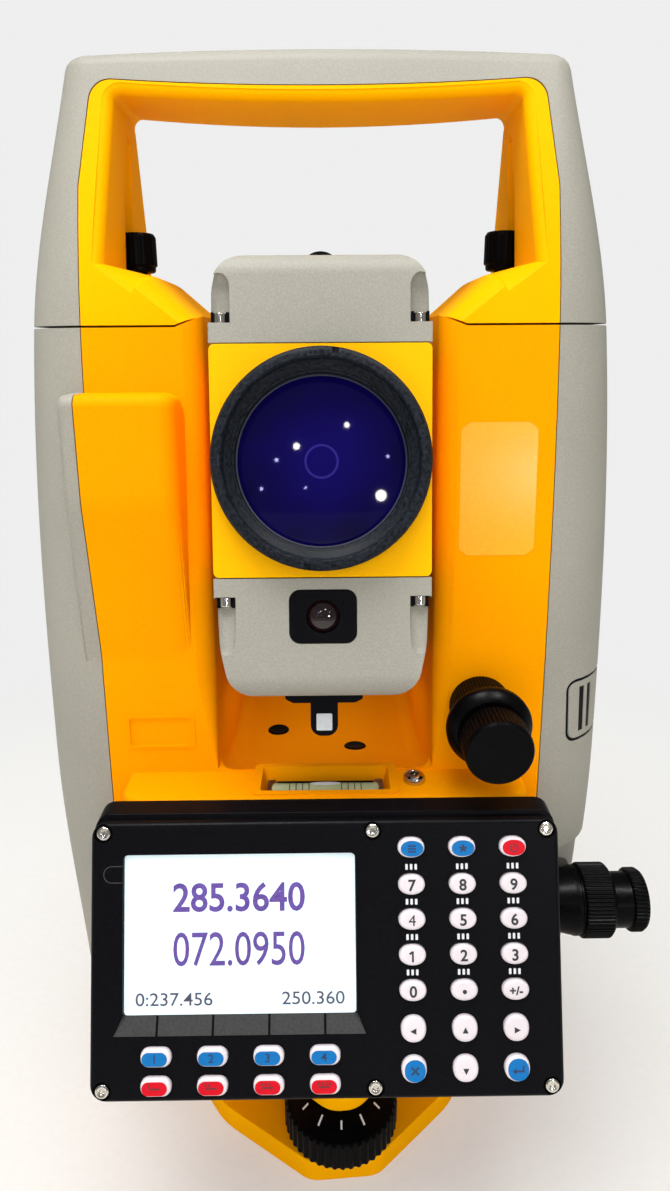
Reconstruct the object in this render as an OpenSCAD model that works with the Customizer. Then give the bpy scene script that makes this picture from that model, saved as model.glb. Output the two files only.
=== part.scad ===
// Surveying total station on its levelling tribrach. A forked alidade turns on a vertical spindle,
// and a telescope plunges between its two standards on a horizontal axis.
// Millimetres, +Z up, objective towards -Y. The origin is the centre of the tripod thread, on the
// underside of the base plate.

/* [Tribrach] */
// Thickness of the base plate
base_plate_t = 9; // [7:0.5:12]
// Distance from the centre to the base plate's corners
base_corner_r = 74; // [72:0.5:80]
// Distance from the centre to the ends of the base plate's sides
base_side_r = 64.5; // [62:0.5:70]
// Wall radius of the tapped 5/8 inch tripod hole
thread_r = 6.85; // [6.5:0.05:7.5]
// Distance from the centre to each foot screw
foot_circle_r = 61; // [58:0.5:63]
// Radius of a foot screw's knob
foot_knob_r = 20; // [17:0.5:21]
// Height of a foot screw's ribbed rim
foot_rim_h = 11.5; // [9:0.5:14]
// Height of the cone above the rim
foot_cone_h = 4; // [2:0.5:6]
// Clear height below a foot screw's rim
foot_clear = 4.5; // [3:0.5:7]
// Radius of a foot screw's spindle
foot_spindle_r = 5; // [4:0.25:6]
// Height of the tribrach's body
tribrach_h = 20; // [18:0.5:26]
// Height of the tribrach's three ears
ear_h = 16; // [14:0.5:18]
// Distance from the centre to the ears' corners
ear_corner_r = 72; // [71:0.5:75]
// Distance from the centre to the ends of the tribrach's sides
tribrach_side_r = 56; // [55:0.5:59]
// Radius of the seat that takes the instrument
socket_r = 40; // [37:0.5:41]
// Depth of the seat
socket_depth = 14; // [11:0.5:15]
// Turn of the tribrach against the alidade, in degrees
tribrach_turn = 4; // [0:1:20]
// Radius of the circular level's cup
level_r = 8; // [6:0.5:9]
// Length of the lock lever's arm
lever_len = 22; // [16:1:24]

/* [Azimuth axis] */
// Radius of the instrument's lower flange
flange_r = 46; // [43:0.5:49]
// Height of the lower flange
flange_h = 10; // [7:0.5:13]
// Gap between the lower flange and the turning alidade
turn_gap = 2; // [1:0.25:3]
// Outer radius of the bearing sleeve
sleeve_r = 20; // [18:0.5:24]
// Height of the bearing sleeve above the flange
sleeve_h = 36; // [30:0.5:38]
// Radius of the vertical spindle
spindle_r = 14; // [11:0.5:16]
// Radius of the bore for the plumbing beam
plumb_r = 6; // [4:0.5:8]
// Radius of the horizontal circle
hz_circle_r = 44; // [36:0.5:47]
// Thickness of both graduated circles
circle_t = 3; // [2:0.25:4]
// Height of the spindle's top flange
spindle_flange_h = 6; // [4:0.5:8]
// Radius of the spindle's top flange
spindle_flange_r = 30; // [26:0.5:36]

/* [Casing] */
// Height of the handle joint above the trunnion axis
split_rise = 49.1; // [46:0.1:52]
// Height of the widest level above the underside
belly_h = 88; // [80:1:100]
// Half width at the underside
bottom_half_w = 89; // [86:0.5:92]
// Half width at the widest level
belly_half_w = 91.5; // [89:0.5:95]
// Half width at the handle joint
split_half_w = 87; // [84:0.5:90]
// Half width at the top of the handle
top_half_w = 73; // [70.5:0.5:75]
// Half depth at the underside
bottom_half_d = 52; // [50:0.5:55]
// Half depth at the widest level
belly_half_d = 53; // [51:0.5:56]
// Half depth at the handle joint
split_half_d = 40; // [37:0.5:44]
// Half depth at the top of the handle
top_half_d = 16; // [13:0.5:19]
// Radius of the casing's upright corners
corner_r = 24; // [20:0.5:26]
// Radius of the handle's upright corners at the top
top_corner_r = 6.5; // [6:0.5:10]
// Radius of the handle's top edge
top_round = 3.5; // [3:0.5:6]
// Wall of the side covers
cover_wall = 3; // [2:0.25:4]
// Distance from the middle to the seam of each side cover
seam_x = 68; // [66:0.5:69.5]
// Width of the seams between casing pieces
seam_gap = 0.3; // [0.1:0.05:0.6]
// Height of the side covers above the underside
cover_lift = 3; // [1:0.5:6]

/* [Fork] */
// Half width of the fork between the standards
fork_half_w = 34; // [32:0.5:35.5]
// Height of the trunnion axis above the underside
trunnion_h = 173.4; // [171:0.2:176]
// Radius of the trough below the telescope
trough_r = 100; // [98.5:0.5:102]
// Height of the deck in front of the standards
deck_h = 88; // [86:0.5:88.5]
// Half width of the block that carries the keyboard
chin_half_w = 62; // [58:0.5:63]
// Distance from the middle to the front of that block
chin_y = 70; // [68:0.5:72]
// Radius of the block's upright corners
chin_corner_r = 8; // [5:0.5:10]
// Thickness of each standard's inner wall
inner_wall = 8; // [6:0.5:9]
// Half depth of the pocket in each standard
pocket_half_d = 33; // [31.5:0.5:35]
// Radius of the cavity for the azimuth axis
cavity_r = 48.5; // [48:0.25:49.5]

/* [Hump] */
// Inner edge of the hump on the left standard
hump_in_x = 40; // [38:0.5:43]
// Outer edge of the hump on the left side cover
hump_out_x = 73; // [71:0.5:76]
// Height of the hump's foot above the underside
hump_foot_h = 125; // [115:1:130]
// Height of the hump's ledge above the underside
hump_ledge_h = 204.5; // [198:0.5:208]
// Distance from the middle to the hump's front
hump_y = 56; // [53:0.5:58]

/* [Handle] */
// Half width of the handle's opening at its top
grip_top_half_w = 58.5; // [57:0.5:60]
// Half width of the handle's opening at its feet
grip_foot_half_w = 61.5; // [60:0.5:63]
// Height of the opening's top above the handle joint
grip_top_h = 61; // [57:0.5:62]
// Half width of the yellow handle at its top
handle_top_half_w = 64.5; // [63:0.5:66]
// Sag of the handle's bar in its middle
bar_sag = 2.25; // [0:0.25:3]
// Thickness of the handle's yellow bar
bar_t = 4; // [3:0.25:5]
// Thickness of the grey cap at the ends of the bar
cap_t = 6.75; // [6:0.25:8]
// Height of the handle's feet
handle_foot_h = 17; // [15:0.5:19]
// Distance from the middle to each handle screw
handle_screw_x = 58.75; // [57:0.25:60]
// Radius of a handle screw's head
handle_screw_r = 5.9; // [4.5:0.1:6.3]
// Height of a handle screw's head
handle_screw_h = 10.5; // [8:0.5:13]

/* [Telescope] */
// Upward tilt of the telescope at rest, in degrees
tilt = 12; // [0:1:20]
// Half width of the telescope
scope_half_w = 29; // [27:0.5:30]
// Distance from the trunnion to the telescope's front face
scope_front = 70; // [66:0.5:72]
// Distance from the trunnion to the telescope's rear face
scope_rear = 58; // [54:0.5:60]
// Half height of the yellow housing
scope_half_h = 30.3; // [29.5:0.1:32]
// Height of the upper cover
upper_cover_h = 23.6; // [20:0.2:25]
// Height of the lower cover
lower_cover_h = 33.4; // [30:0.2:34]
// Radius of the objective ring
ring_r = 28.3; // [27.5:0.1:29]
// Length of the objective ring in front of the face
ring_len = 8; // [6:0.5:9]
// Radius of the objective lens
lens_r = 22.9; // [20:0.1:23.4]
// Radius of the trunnion axles
axle_r = 10; // [8:0.5:11]
// Outer radius of the trunnion bearings
bearing_r = 16; // [14:0.5:18]
// Radius of the vertical circle
v_circle_r = 30; // [24:0.5:30.5]
// Radius of the eyepiece tube
eyepiece_r = 14; // [12:0.5:15]
// Radius of the focusing ring
focus_r = 20; // [18:0.5:22]
// Length of the focusing ring
focus_len = 13; // [10:0.5:14]
// Length of the eyepiece ring
eye_ring_len = 11; // [8:0.5:12]

/* [Keyboard] */
// Lean of the keyboard's face from upright, in degrees
panel_tilt = 20.7; // [17:0.1:23]
// Height of the keyboard along its face
panel_h = 77; // [76:0.2:78]
// Distance from the middle to the centre of the keyboard's face
panel_y = 95; // [94:0.5:98]
// Height of the face's centre above the alidade's underside
panel_lift = 52.3; // [51:0.1:53]
// Radius of the keyboard's corners
panel_corner_r = 4.5; // [3:0.5:8]
// Thickness of the keyboard's front bezel
bezel_t = 4; // [3:0.25:5]
// Width of the display window
window_w = 65.7; // [60:0.1:67]
// Height of the display window
window_h = 44.7; // [40:0.1:46]
// Width of the frame beside the window
window_side = 9.15; // [8:0.05:11]
// Gap between the window and the number keys
window_gap = 11.95; // [10.5:0.05:14]
// Width of the number keys
key_w = 7.6; // [7:0.1:8.2]
// Pitch of the key columns
column_pitch = 14.4; // [13:0.1:16]
// Width of the frame beside the keys
key_side = 9.6; // [8.5:0.1:12]
// Travel of each key
key_travel = 0.8; // [0.4:0.1:1.2]
// Height of the keys above the face
key_proud = 1.3; // [0.9:0.1:2]

/* [Clamps and battery] */
// Radius of the ribbed clamp knobs
clamp_r = 12.3; // [11:0.1:14]
// Length of the ribbed clamp knobs
clamp_len = 12; // [9:0.5:14]
// Radius of the tangent knobs
tangent_r = 9.9; // [8:0.1:11]
// Length of the tangent knobs
tangent_len = 10.5; // [7:0.5:12]
// Radius of the necks behind the clamp knobs
neck_r = 8.9; // [8:0.1:9.5]
// Distance from the middle to the vertical clamp's axis
v_clamp_x = 48; // [47:0.1:50]
// Height of the vertical clamp's axis above the underside
v_clamp_h = 110.4; // [108:0.1:113]
// Length of the vertical clamp's neck
v_neck_len = 10; // [8:0.25:12]
// Distance from the middle to the horizontal clamp's axis
h_clamp_y = 57; // [56:0.5:58]
// Height of the horizontal clamp's axis above the underside
h_clamp_h = 41; // [38:0.5:44]
// Length of the horizontal clamp's neck
h_neck_len = 19; // [17:0.5:22]
// Depth of the battery's front edge from the middle
battery_front_y = 27; // [24:0.5:28]
// Depth of the battery's rear edge from the middle
battery_rear_y = 34; // [30:0.5:38]
// Height of the battery's lower edge above the underside
battery_low_h = 36; // [30:1:42]
// Height of the battery
battery_h = 98; // [86:1:104]
// Distance from the middle to the battery's inner face
battery_in_x = 75; // [73.5:0.5:78]
// Width of the battery latch round the casing's corner
latch_w = 21; // [17:0.5:23]
// Height of the battery latch
latch_h = 19; // [16:0.5:22]
// Travel of the battery latch
latch_travel = 2; // [1:0.25:3]

/* [Hidden] */

yellow = "#f7b500";
grey = "#c3bfb6";
black = "#1d1d20";
silver = "#c8cacc";
glass = "#3a3f6a";
white_key = "#ece6e4";

// Running clearance of a shaft, and clearance of pieces that are bolted or dropped in
run_gap = 0.05;
fit_gap = 0.25;
// Clearance at the end of a shaft and under a knob that turns
end_gap = 0.5;
// Length by which a cut reaches past what it cuts
over = 1;
far = 200;

// Levels
pocket_drop = 14;
pocket_roof = 9;
foot_z = base_plate_t + foot_clear;
cone_z = foot_z + foot_rim_h;
tribrach_z = cone_z + foot_cone_h + 2 * end_gap;
tribrach_top_z = tribrach_z + tribrach_h;
socket_z = tribrach_top_z - socket_depth;
flange_top_z = tribrach_top_z + flange_h;
body_z = flange_top_z + turn_gap;
sleeve_top_z = flange_top_z + sleeve_h;
hz_circle_z = sleeve_top_z + end_gap;
spindle_flange_z = hz_circle_z + circle_t;
cavity_top_z = spindle_flange_z + spindle_flange_h;
belly_z = body_z + belly_h;
deck_z = body_z + deck_h;
trunnion_z = body_z + trunnion_h;
split_z = trunnion_z + split_rise;
handle_h = grip_top_h + bar_sag + bar_t + cap_t;
top_z = split_z + handle_h;
panel_z = body_z + panel_lift;
cover_z = body_z + cover_lift;
pocket_z = body_z + v_clamp_h - pocket_drop;
pocket_top_z = split_z - pocket_roof;
handle_foot_z = split_z + handle_foot_h;
screw_head_z = handle_foot_z + fit_gap;

// Seam faces of the frame and of the side covers
frame_seam_x = seam_x - seam_gap / 2;
cover_seam_x = seam_x + seam_gap / 2;
frame_top_z = split_z - seam_gap / 2;
handle_z = split_z + seam_gap / 2;

// Places of the clamps
v_clamp_z = body_z + v_clamp_h;
h_clamp_z = body_z + h_clamp_h;
clamp_sleeve_r = 5;
clamp_sleeve_len = 14;
clamp_bore_len = clamp_sleeve_len + 8;
tangent_stem_r = 3;
tangent_stem_in = clamp_sleeve_len + 4;
relief_r = clamp_r + 2.5;

// Casing outline: level, half width, half depth and corner radius
stations = [
    [body_z, bottom_half_w, bottom_half_d, corner_r],
    [belly_z, belly_half_w, belly_half_d, corner_r],
    [split_z, split_half_w, split_half_d, corner_r - 3],
    [top_z, top_half_w, top_half_d, top_corner_r]
];
casing_rings = 15;
corner_steps = 6;

// Smooth curve through the stations' values in column k
function span_of(z) = z < belly_z ? 0 : z < split_z ? 1 : 2;
function slope_at(i, k) =
    let (a = stations[max(i - 1, 0)], b = stations[min(i + 1, 3)])
    (b[k] - a[k]) / (b[0] - a[0]);
function casing_at(z, k) =
    let (i = span_of(z), a = stations[i], b = stations[i + 1], d = b[0] - a[0], t = (z - a[0]) / d)
    a[k] * (2 * t ^ 3 - 3 * t ^ 2 + 1) + slope_at(i, k) * d * (t ^ 3 - 2 * t ^ 2 + t)
    + b[k] * (3 * t ^ 2 - 2 * t ^ 3) + slope_at(i + 1, k) * d * (t ^ 3 - t ^ 2);
function half_depth(z) = casing_at(z, 2);

// One level of the casing: a rectangle with round corners, drawn in by the rounded top edge
function edge_inset(z) =
    let (up = z - (top_z - top_round))
    up <= 0 ? 0 : top_round - sqrt(max(0, top_round ^ 2 - up ^ 2));
function casing_ring(z, inset) =
    let (
        draw = edge_inset(z) + inset,
        w = casing_at(z, 1) - draw,
        d = casing_at(z, 2) - draw,
        r = max(1, min(casing_at(z, 3) - draw, d - 1))
    )
    [for (q = [0:3])
        let (cx = (q == 0 || q == 3 ? 1 : -1) * (w - r), cy = (q < 2 ? 1 : -1) * (d - r))
        for (i = [0:corner_steps])
            let (a = 90 * q + 90 * i / corner_steps)
            [cx + r * cos(a), cy + r * sin(a), z]];
casing_levels = concat(
    [for (i = [0:casing_rings]) body_z + (top_z - top_round - body_z) * i / casing_rings],
    [for (a = [30, 60, 90]) top_z - top_round + top_round * sin(a)]);

// Points of an outline whose corners are rounded, each by its own radius
function unit(v) = v / norm(v);
function arc_points(a, b, c, r, n = 6) =
    let (
        u = unit(a - b),
        v = unit(c - b),
        half = acos(u * v) / 2,
        centre = b + unit(u + v) * r / sin(half),
        p = b + u * r / tan(half) - centre,
        q = b + v * r / tan(half) - centre,
        start = atan2(p.y, p.x),
        sweep = (atan2(q.y, q.x) - start + 540) % 360 - 180
    )
    [for (i = [0:n]) centre + r * [cos(start + sweep * i / n), sin(start + sweep * i / n)]];
function rounded(points, radii) =
    let (n = len(points))
    [for (i = [0:n - 1])
        each (radii[i] > 0
            ? arc_points(points[(i + n - 1) % n], points[i], points[(i + 1) % n], radii[i])
            : [points[i]])];
function rounded_rect(w, h, r) =
    rounded([[-w / 2, -h / 2], [w / 2, -h / 2], [w / 2, h / 2], [-w / 2, h / 2]], [r, r, r, r]);
function polar(r, a) = r * [cos(a), sin(a)];

// Three-cornered outline of the tribrach's plates
corner_half_angle = 9.2;
ear_half_angle = 3.7;
side_half_angle = 18;
function lobed(corner, half_angle, side, corner_round, side_round) =
    rounded(
        [for (k = [0:2], step = [-1, 1, 2, 3])
            let (mid = -90 + 120 * k)
            abs(step) == 1
                ? polar(corner, mid + step * half_angle)
                : polar(side, mid + 60 + (step == 2 ? -1 : 1) * side_half_angle)],
        [for (k = [0:2], r = [corner_round, corner_round, side_round, side_round]) r]);

// Shared solids
module casing(inset) {
    n = 4 * (corner_steps + 1);
    last = len(casing_levels) - 1;
    polyhedron(
        points = [for (z = casing_levels) each casing_ring(z, inset)],
        faces = concat(
            [[for (j = [0:n - 1]) j]],
            [[for (j = [n - 1:-1:0]) last * n + j]],
            [for (i = [0:last - 1], j = [0:n - 1])
                let (p = i * n + j, q = i * n + (j + 1) % n)
                each [[p, p + n, q + n], [p, q + n, q]]]));
}

module between(low, high) {
    translate(low) cube(high - low);
}

// A block standing on its middle
module block(base, height) {
    translate([-base.x / 2, -base.y / 2, 0]) cube([base.x, base.y, height]);
}

module along_x(x, r, length) {
    translate([x, 0, 0]) rotate([0, 90, 0]) cylinder(r = r, h = length, $fn = 96);
}

module along_y(y, r, length) {
    translate([0, y, 0]) rotate([-90, 0, 0]) cylinder(r = r, h = length, $fn = 96);
}

// Extrudes an outline drawn in width and height along +Y
module upright(y, depth) {
    translate([0, y + depth, 0]) rotate([90, 0, 0]) linear_extrude(depth) children();
}

// Extrudes an outline drawn in depth and height along +X
module sideways(x, width) {
    translate([x, 0, 0]) rotate([90, 0, 90]) linear_extrude(width) children();
}

module stadium(w, h) {
    r = min(w, h) / 2;
    for (side = [-1, 1])
        translate([side * max(0, w / 2 - r), side * max(0, h / 2 - r)]) circle(r, $fn = 48);
    square([max(2 * (w / 2 - r), w > h ? 0.01 : w), max(2 * (h / 2 - r), w > h ? h : 0.01)], center = true);
}

// A knob's rim with ribs that run along its axis
module ribbed(r, length, ribs, depth) {
    pitch = 360 / ribs;
    linear_extrude(length)
        polygon([for (i = [0:ribs - 1], k = [0, 0.5, 0.62, 0.88])
            polar(k < 0.6 ? r : r - depth, pitch * (i + k))]);
}

module spun(outline) {
    rotate_extrude($fn = 128) polygon(outline);
}

// Placements
module at_angle(a) {
    rotate([0, 0, a + tribrach_turn]) children();
}

module on_scope() {
    translate([0, 0, trunnion_z]) rotate([-tilt, 0, 0]) children();
}

module on_panel() {
    translate([0, -panel_y, panel_z]) rotate([90 - panel_tilt, 0, 0]) children();
}

module at_v_clamp() {
    translate([v_clamp_x, -half_depth(v_clamp_z), v_clamp_z]) rotate([90, 0, 0]) children();
}

module at_h_clamp() {
    translate([chin_half_w, -h_clamp_y, h_clamp_z]) rotate([0, 90, 0]) children();
}

// Tribrach
base_corner_round = 10;
base_side_round = 30;
foot_spigot_r = foot_spindle_r - 1;
foot_socket_depth = 5;
foot_ribs = 40;
foot_core_r = foot_knob_r - 2;
foot_roof = 3;
foot_top_z = tribrach_z + ear_h - foot_roof;
level_place_r = 54;
level_depth = 6;
level_boss_r = level_r + 3.5;
level_rim_h = 0.6;
seat_rim_r = flange_r + 4;
through_r = socket_r - 12;
lever_angle = -30;
level_angle = 210;
lever_shaft_r = 3;
lever_hub_r = 6.5;
lever_hub_t = 6;
lever_arm_w = 9;
lever_in_r = socket_r + 4;
lever_hub_x = tribrach_side_r * cos(side_half_angle) + end_gap;
lever_z = tribrach_z + ear_h * 0.6;

module base_plate() {
    color(yellow)
    at_angle(0)
    difference() {
        linear_extrude(base_plate_t)
            polygon(lobed(base_corner_r, corner_half_angle, base_side_r, base_corner_round, base_side_round));
        translate([0, 0, -over]) cylinder(r = thread_r, h = base_plate_t + 2 * over, $fn = 96);
        for (k = [0:2])
            rotate([0, 0, -90 + 120 * k])
            translate([foot_circle_r, 0, base_plate_t - foot_socket_depth])
            cylinder(r = foot_spigot_r + run_gap, h = foot_socket_depth + over, $fn = 64);
    }
}

module foot_screw(angle) {
    color(black)
    at_angle(angle)
    translate([foot_circle_r, 0, 0]) {
        translate([0, 0, foot_z]) ribbed(foot_knob_r, foot_rim_h, foot_ribs, 0.9);
        spun([
            [0, base_plate_t - foot_socket_depth + end_gap],
            [foot_spigot_r, base_plate_t - foot_socket_depth + end_gap],
            [foot_spigot_r, foot_z + over],
            [foot_core_r, foot_z + over],
            [foot_core_r, cone_z],
            [foot_knob_r * 0.6, cone_z + foot_cone_h],
            [foot_spindle_r, cone_z + foot_cone_h],
            [foot_spindle_r, foot_top_z - end_gap],
            [0, foot_top_z - end_gap]
        ]);
    }
}

module foot_screw_front() {
    foot_screw(-90);
}

module foot_screw_left() {
    foot_screw(150);
}

module foot_screw_right() {
    foot_screw(30);
}

module tribrach_body() {
    color(yellow)
    at_angle(0)
    difference() {
        union() {
            translate([0, 0, tribrach_z])
                linear_extrude(ear_h)
                polygon(lobed(ear_corner_r, ear_half_angle, tribrach_side_r, base_corner_round, base_side_round));
            translate([0, 0, tribrach_z]) cylinder(r = seat_rim_r, h = tribrach_h, $fn = 128);
            rotate([0, 0, level_angle])
                translate([level_place_r, 0, tribrach_z])
                cylinder(r = level_boss_r, h = ear_h + level_rim_h, $fn = 64);
        }
        translate([0, 0, socket_z]) cylinder(r = socket_r, h = socket_depth + over, $fn = 128);
        translate([0, 0, tribrach_z - over]) cylinder(r = through_r, h = tribrach_h, $fn = 96);
        for (k = [0:2])
            rotate([0, 0, -90 + 120 * k])
            translate([foot_circle_r, 0, tribrach_z - over])
            cylinder(r = foot_spindle_r + run_gap, h = foot_top_z - tribrach_z + over, $fn = 64);
        rotate([0, 0, level_angle])
            translate([level_place_r, 0, tribrach_z + ear_h - level_depth])
            cylinder(r = level_r + fit_gap, h = tribrach_h, $fn = 64);
        rotate([0, 0, lever_angle])
            translate([0, 0, lever_z])
            along_x(lever_in_r, lever_shaft_r + run_gap, far);
    }
}

module circular_level() {
    color(silver)
    at_angle(level_angle)
    translate([level_place_r, 0, tribrach_z + ear_h - level_depth])
    spun([[0, 0], [level_r, 0], [level_r, level_depth + 1], [level_r - 1.5, level_depth + 1.6],
        [0, level_depth + 2]]);
}

module lock_lever() {
    color(black)
    at_angle(lever_angle)
    translate([0, 0, lever_z]) {
        along_x(lever_in_r + end_gap, lever_shaft_r, lever_hub_x - lever_in_r);
        along_x(lever_hub_x, lever_hub_r, lever_hub_t);
        translate([lever_hub_x, 0, -lever_arm_w / 2]) cube([lever_hub_t, lever_len, lever_arm_w]);
        translate([0, lever_len, 0]) along_x(lever_hub_x, lever_arm_w / 2, lever_hub_t);
    }
}

// Azimuth axis
spindle_z = socket_z + 3;

module instrument_base() {
    bore = spindle_r + run_gap;
    color(grey)
    spun([
        [bore, socket_z],
        [socket_r - fit_gap, socket_z],
        [socket_r - fit_gap, tribrach_top_z],
        [flange_r, tribrach_top_z],
        [flange_r, flange_top_z],
        [sleeve_r, flange_top_z],
        [sleeve_r, sleeve_top_z],
        [bore, sleeve_top_z]
    ]);
}

module azimuth_spindle() {
    color(silver)
    spun([
        [plumb_r, spindle_z],
        [spindle_r, spindle_z],
        [spindle_r, spindle_flange_z],
        [spindle_flange_r, spindle_flange_z],
        [spindle_flange_r, cavity_top_z],
        [plumb_r, cavity_top_z]
    ]);
}

module horizontal_circle() {
    color(glass)
    translate([0, 0, hz_circle_z])
    spun([
        [spindle_r + run_gap, 0],
        [hz_circle_r, 0],
        [hz_circle_r, circle_t],
        [spindle_r + run_gap, circle_t]
    ]);
}

// Alidade
hump_foot_z = body_z + hump_foot_h;
hump_ledge_z = body_z + hump_ledge_h;
hump_swell = 0.62;
vial_half_l = 19.8;
vial_front_y = chin_y - 4;
vial_rear_y = vial_front_y - 13;
vial_y = -(vial_front_y + vial_rear_y) / 2;
vial_recess_d = 8;
vial_r = 4.8;
adjust_screw_x = 27.6;
adjust_screw_r = 3.5;
adjust_head_h = 1.6;
adjust_shank_r = 1.5;
adjust_shank_len = 5.5;

module hump(from_x, to_x) {
    foot_y = half_depth(hump_foot_z) - 0.5;
    mid_z = hump_foot_z + (hump_ledge_z - hump_foot_z) * hump_swell;
    inner_y = pocket_half_d + 2;
    sideways(from_x, to_x - from_x)
        polygon(rounded(
            [[-inner_y, hump_foot_z], [-foot_y, hump_foot_z], [-hump_y, mid_z], [-hump_y + 1.5, hump_ledge_z],
                [-inner_y, hump_ledge_z]],
            [0, 0, 40, 3.5, 0]));
}

module chin() {
    translate([0, 0, cover_z])
        linear_extrude(deck_z - cover_z)
        polygon(rounded(
            [[-chin_half_w, -chin_y], [chin_half_w, -chin_y], [chin_half_w, -pocket_half_d],
                [-chin_half_w, -pocket_half_d]],
            [chin_corner_r, chin_corner_r, 0, 0]));
}

module clamp_relief() {
    translate([0, -h_clamp_y, h_clamp_z]) along_x(chin_half_w, relief_r, far);
}

module alidade_frame() {
    pocket_in_x = fork_half_w + inner_wall;
    color(yellow)
    difference() {
        union() {
            intersection() {
                casing(0);
                between([-frame_seam_x, -far, body_z], [frame_seam_x, far, frame_top_z]);
            }
            chin();
            hump(-frame_seam_x, -hump_in_x);
        }
        between([-fork_half_w, -far, trunnion_z], [fork_half_w, far, split_z + over]);
        translate([0, 0, trunnion_z]) along_x(-fork_half_w, trough_r, 2 * fork_half_w);
        translate([0, 0, trunnion_z]) along_x(-pocket_in_x - over, bearing_r, 2 * (pocket_in_x + over));
        for (side = [0, 1])
            mirror([side, 0, 0])
            between([pocket_in_x, -pocket_half_d, pocket_z], [far, pocket_half_d, pocket_top_z]);
        for (side = [-1, 1])
            translate([side * handle_screw_x, 0, pocket_top_z - over])
            cylinder(r = handle_stem_r + run_gap, h = split_z - pocket_top_z + 2 * over, $fn = 48);
        translate([0, 0, body_z - over]) cylinder(r = cavity_r, h = cavity_top_z - body_z + over, $fn = 128);
        between([-vial_half_l, -vial_front_y, deck_z - vial_recess_d],
            [vial_half_l, -vial_rear_y, deck_z + over]);
        at_v_clamp() {
            cylinder(r = neck_r + 1, h = far, $fn = 64);
            translate([0, 0, pocket_half_d - half_depth(v_clamp_z) - over])
                cylinder(r = clamp_sleeve_r + run_gap, h = far, $fn = 64);
        }
        clamp_relief();
        at_h_clamp() translate([0, 0, -clamp_bore_len])
            cylinder(r = clamp_sleeve_r + run_gap, h = far, $fn = 64);
        translate([adjust_screw_x, vial_y, deck_z - adjust_shank_len - end_gap])
            cylinder(r = adjust_shank_r + run_gap, h = adjust_shank_len + over, $fn = 32);
    }
}

module side_shell() {
    difference() {
        intersection() {
            casing(0);
            between([cover_seam_x, -far, cover_z], [far, far, frame_top_z]);
        }
        intersection() {
            casing(cover_wall);
            between([seam_x - over, -far, cover_z + cover_wall], [far, far, frame_top_z - cover_wall]);
        }
    }
}

module left_side_cover() {
    color(grey)
    union() {
        mirror([1, 0, 0]) side_shell();
        difference() {
            hump(-hump_out_x, -cover_seam_x);
            between([-far, -half_depth(split_z), body_z], [0, far, top_z]);
        }
    }
}

// Battery and its latch, cut from the right cover's outer form
corner_centre_x = belly_half_w - corner_r;
corner_centre_y = -(belly_half_d - corner_r);
latch_angle = -38;
latch_in_r = corner_r - 8;
latch_z = deck_z + 18;

module battery_box(gap) {
    between([battery_in_x - gap, -battery_front_y - gap, body_z + battery_low_h - gap],
        [far, battery_rear_y + gap, body_z + battery_low_h + battery_h + gap]);
}

module latch_box(gap, room) {
    translate([corner_centre_x, corner_centre_y, latch_z])
        rotate([0, 0, latch_angle])
        between([latch_in_r - gap - room, -latch_w / 2 - gap, -latch_h / 2 - gap],
            [2 * corner_r, latch_w / 2 + gap, latch_h / 2 + gap]);
}

module right_side_cover() {
    color(grey)
    difference() {
        union() {
            side_shell();
            intersection() {
                casing(0);
                between([cover_seam_x, -far, cover_z], [far, far, frame_top_z]);
                union() {
                    battery_box(cover_wall);
                    latch_box(cover_wall, latch_travel);
                }
            }
        }
        battery_box(fit_gap);
        latch_box(fit_gap, latch_travel);
        clamp_relief();
    }
}

module battery_pack() {
    color(grey)
    intersection() {
        casing(0);
        battery_box(0);
    }
}

module battery_latch() {
    color(grey)
    intersection() {
        casing(0);
        latch_box(0, 0);
    }
}

// Handle
handle_stem_r = 2.5;
handle_stem_in = 3;
handle_well_r = handle_screw_r + 1.2;
handle_well_room = 20;
handle_screw_ribs = 20;
handle_inset_r = 6;
handle_taper_z = split_z + grip_top_h * 0.62;
grip_round = 5;
// Widening of the opening toward the rear, from the middle plane
grip_flare = 4.5;
grip_flare_d = 30;
bar_flare = 2;
bar_steps = 8;

// Sagging edge between two ends at one height, from right to left
function sagging(half_w, z) =
    [for (i = [1:bar_steps - 1])
        let (x = half_w * (1 - 2 * i / bar_steps))
        [x, z - bar_sag * (1 - (x / half_w) ^ 2)]];
function straight_corners(n) = [for (i = [1:n]) 0];

module handle_outline(grow) {
    side = seam_x + grow;
    corner = handle_top_half_w + grow;
    top = top_z - cap_t + grow;
    polygon(rounded(
        concat(
            [[-side, pocket_top_z], [side, pocket_top_z], [side, handle_taper_z], [corner, top]],
            sagging(corner, top),
            [[-corner, top], [-side, handle_taper_z]]),
        concat([0, 0, 0, handle_inset_r], straight_corners(bar_steps - 1), [handle_inset_r, 0])));
}

module grip_outline() {
    foot_in = fork_half_w + 1;
    foot_mid = (foot_in + grip_foot_half_w) / 2 + 2;
    grip_top = split_z + grip_top_h + bar_sag;
    right = [[foot_in, split_z - over], [foot_in, split_z + 1], [foot_mid, handle_foot_z - 2],
        [grip_foot_half_w, handle_foot_z], [grip_top_half_w, grip_top]];
    left = [for (i = [4:-1:0]) [-right[i].x, right[i].y]];
    polygon(rounded(
        concat(right, sagging(grip_top_half_w, grip_top), left),
        concat([0, 0, 6, 0, grip_round], straight_corners(bar_steps - 1), [grip_round, 0, 6, 0, 0])));
}

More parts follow.
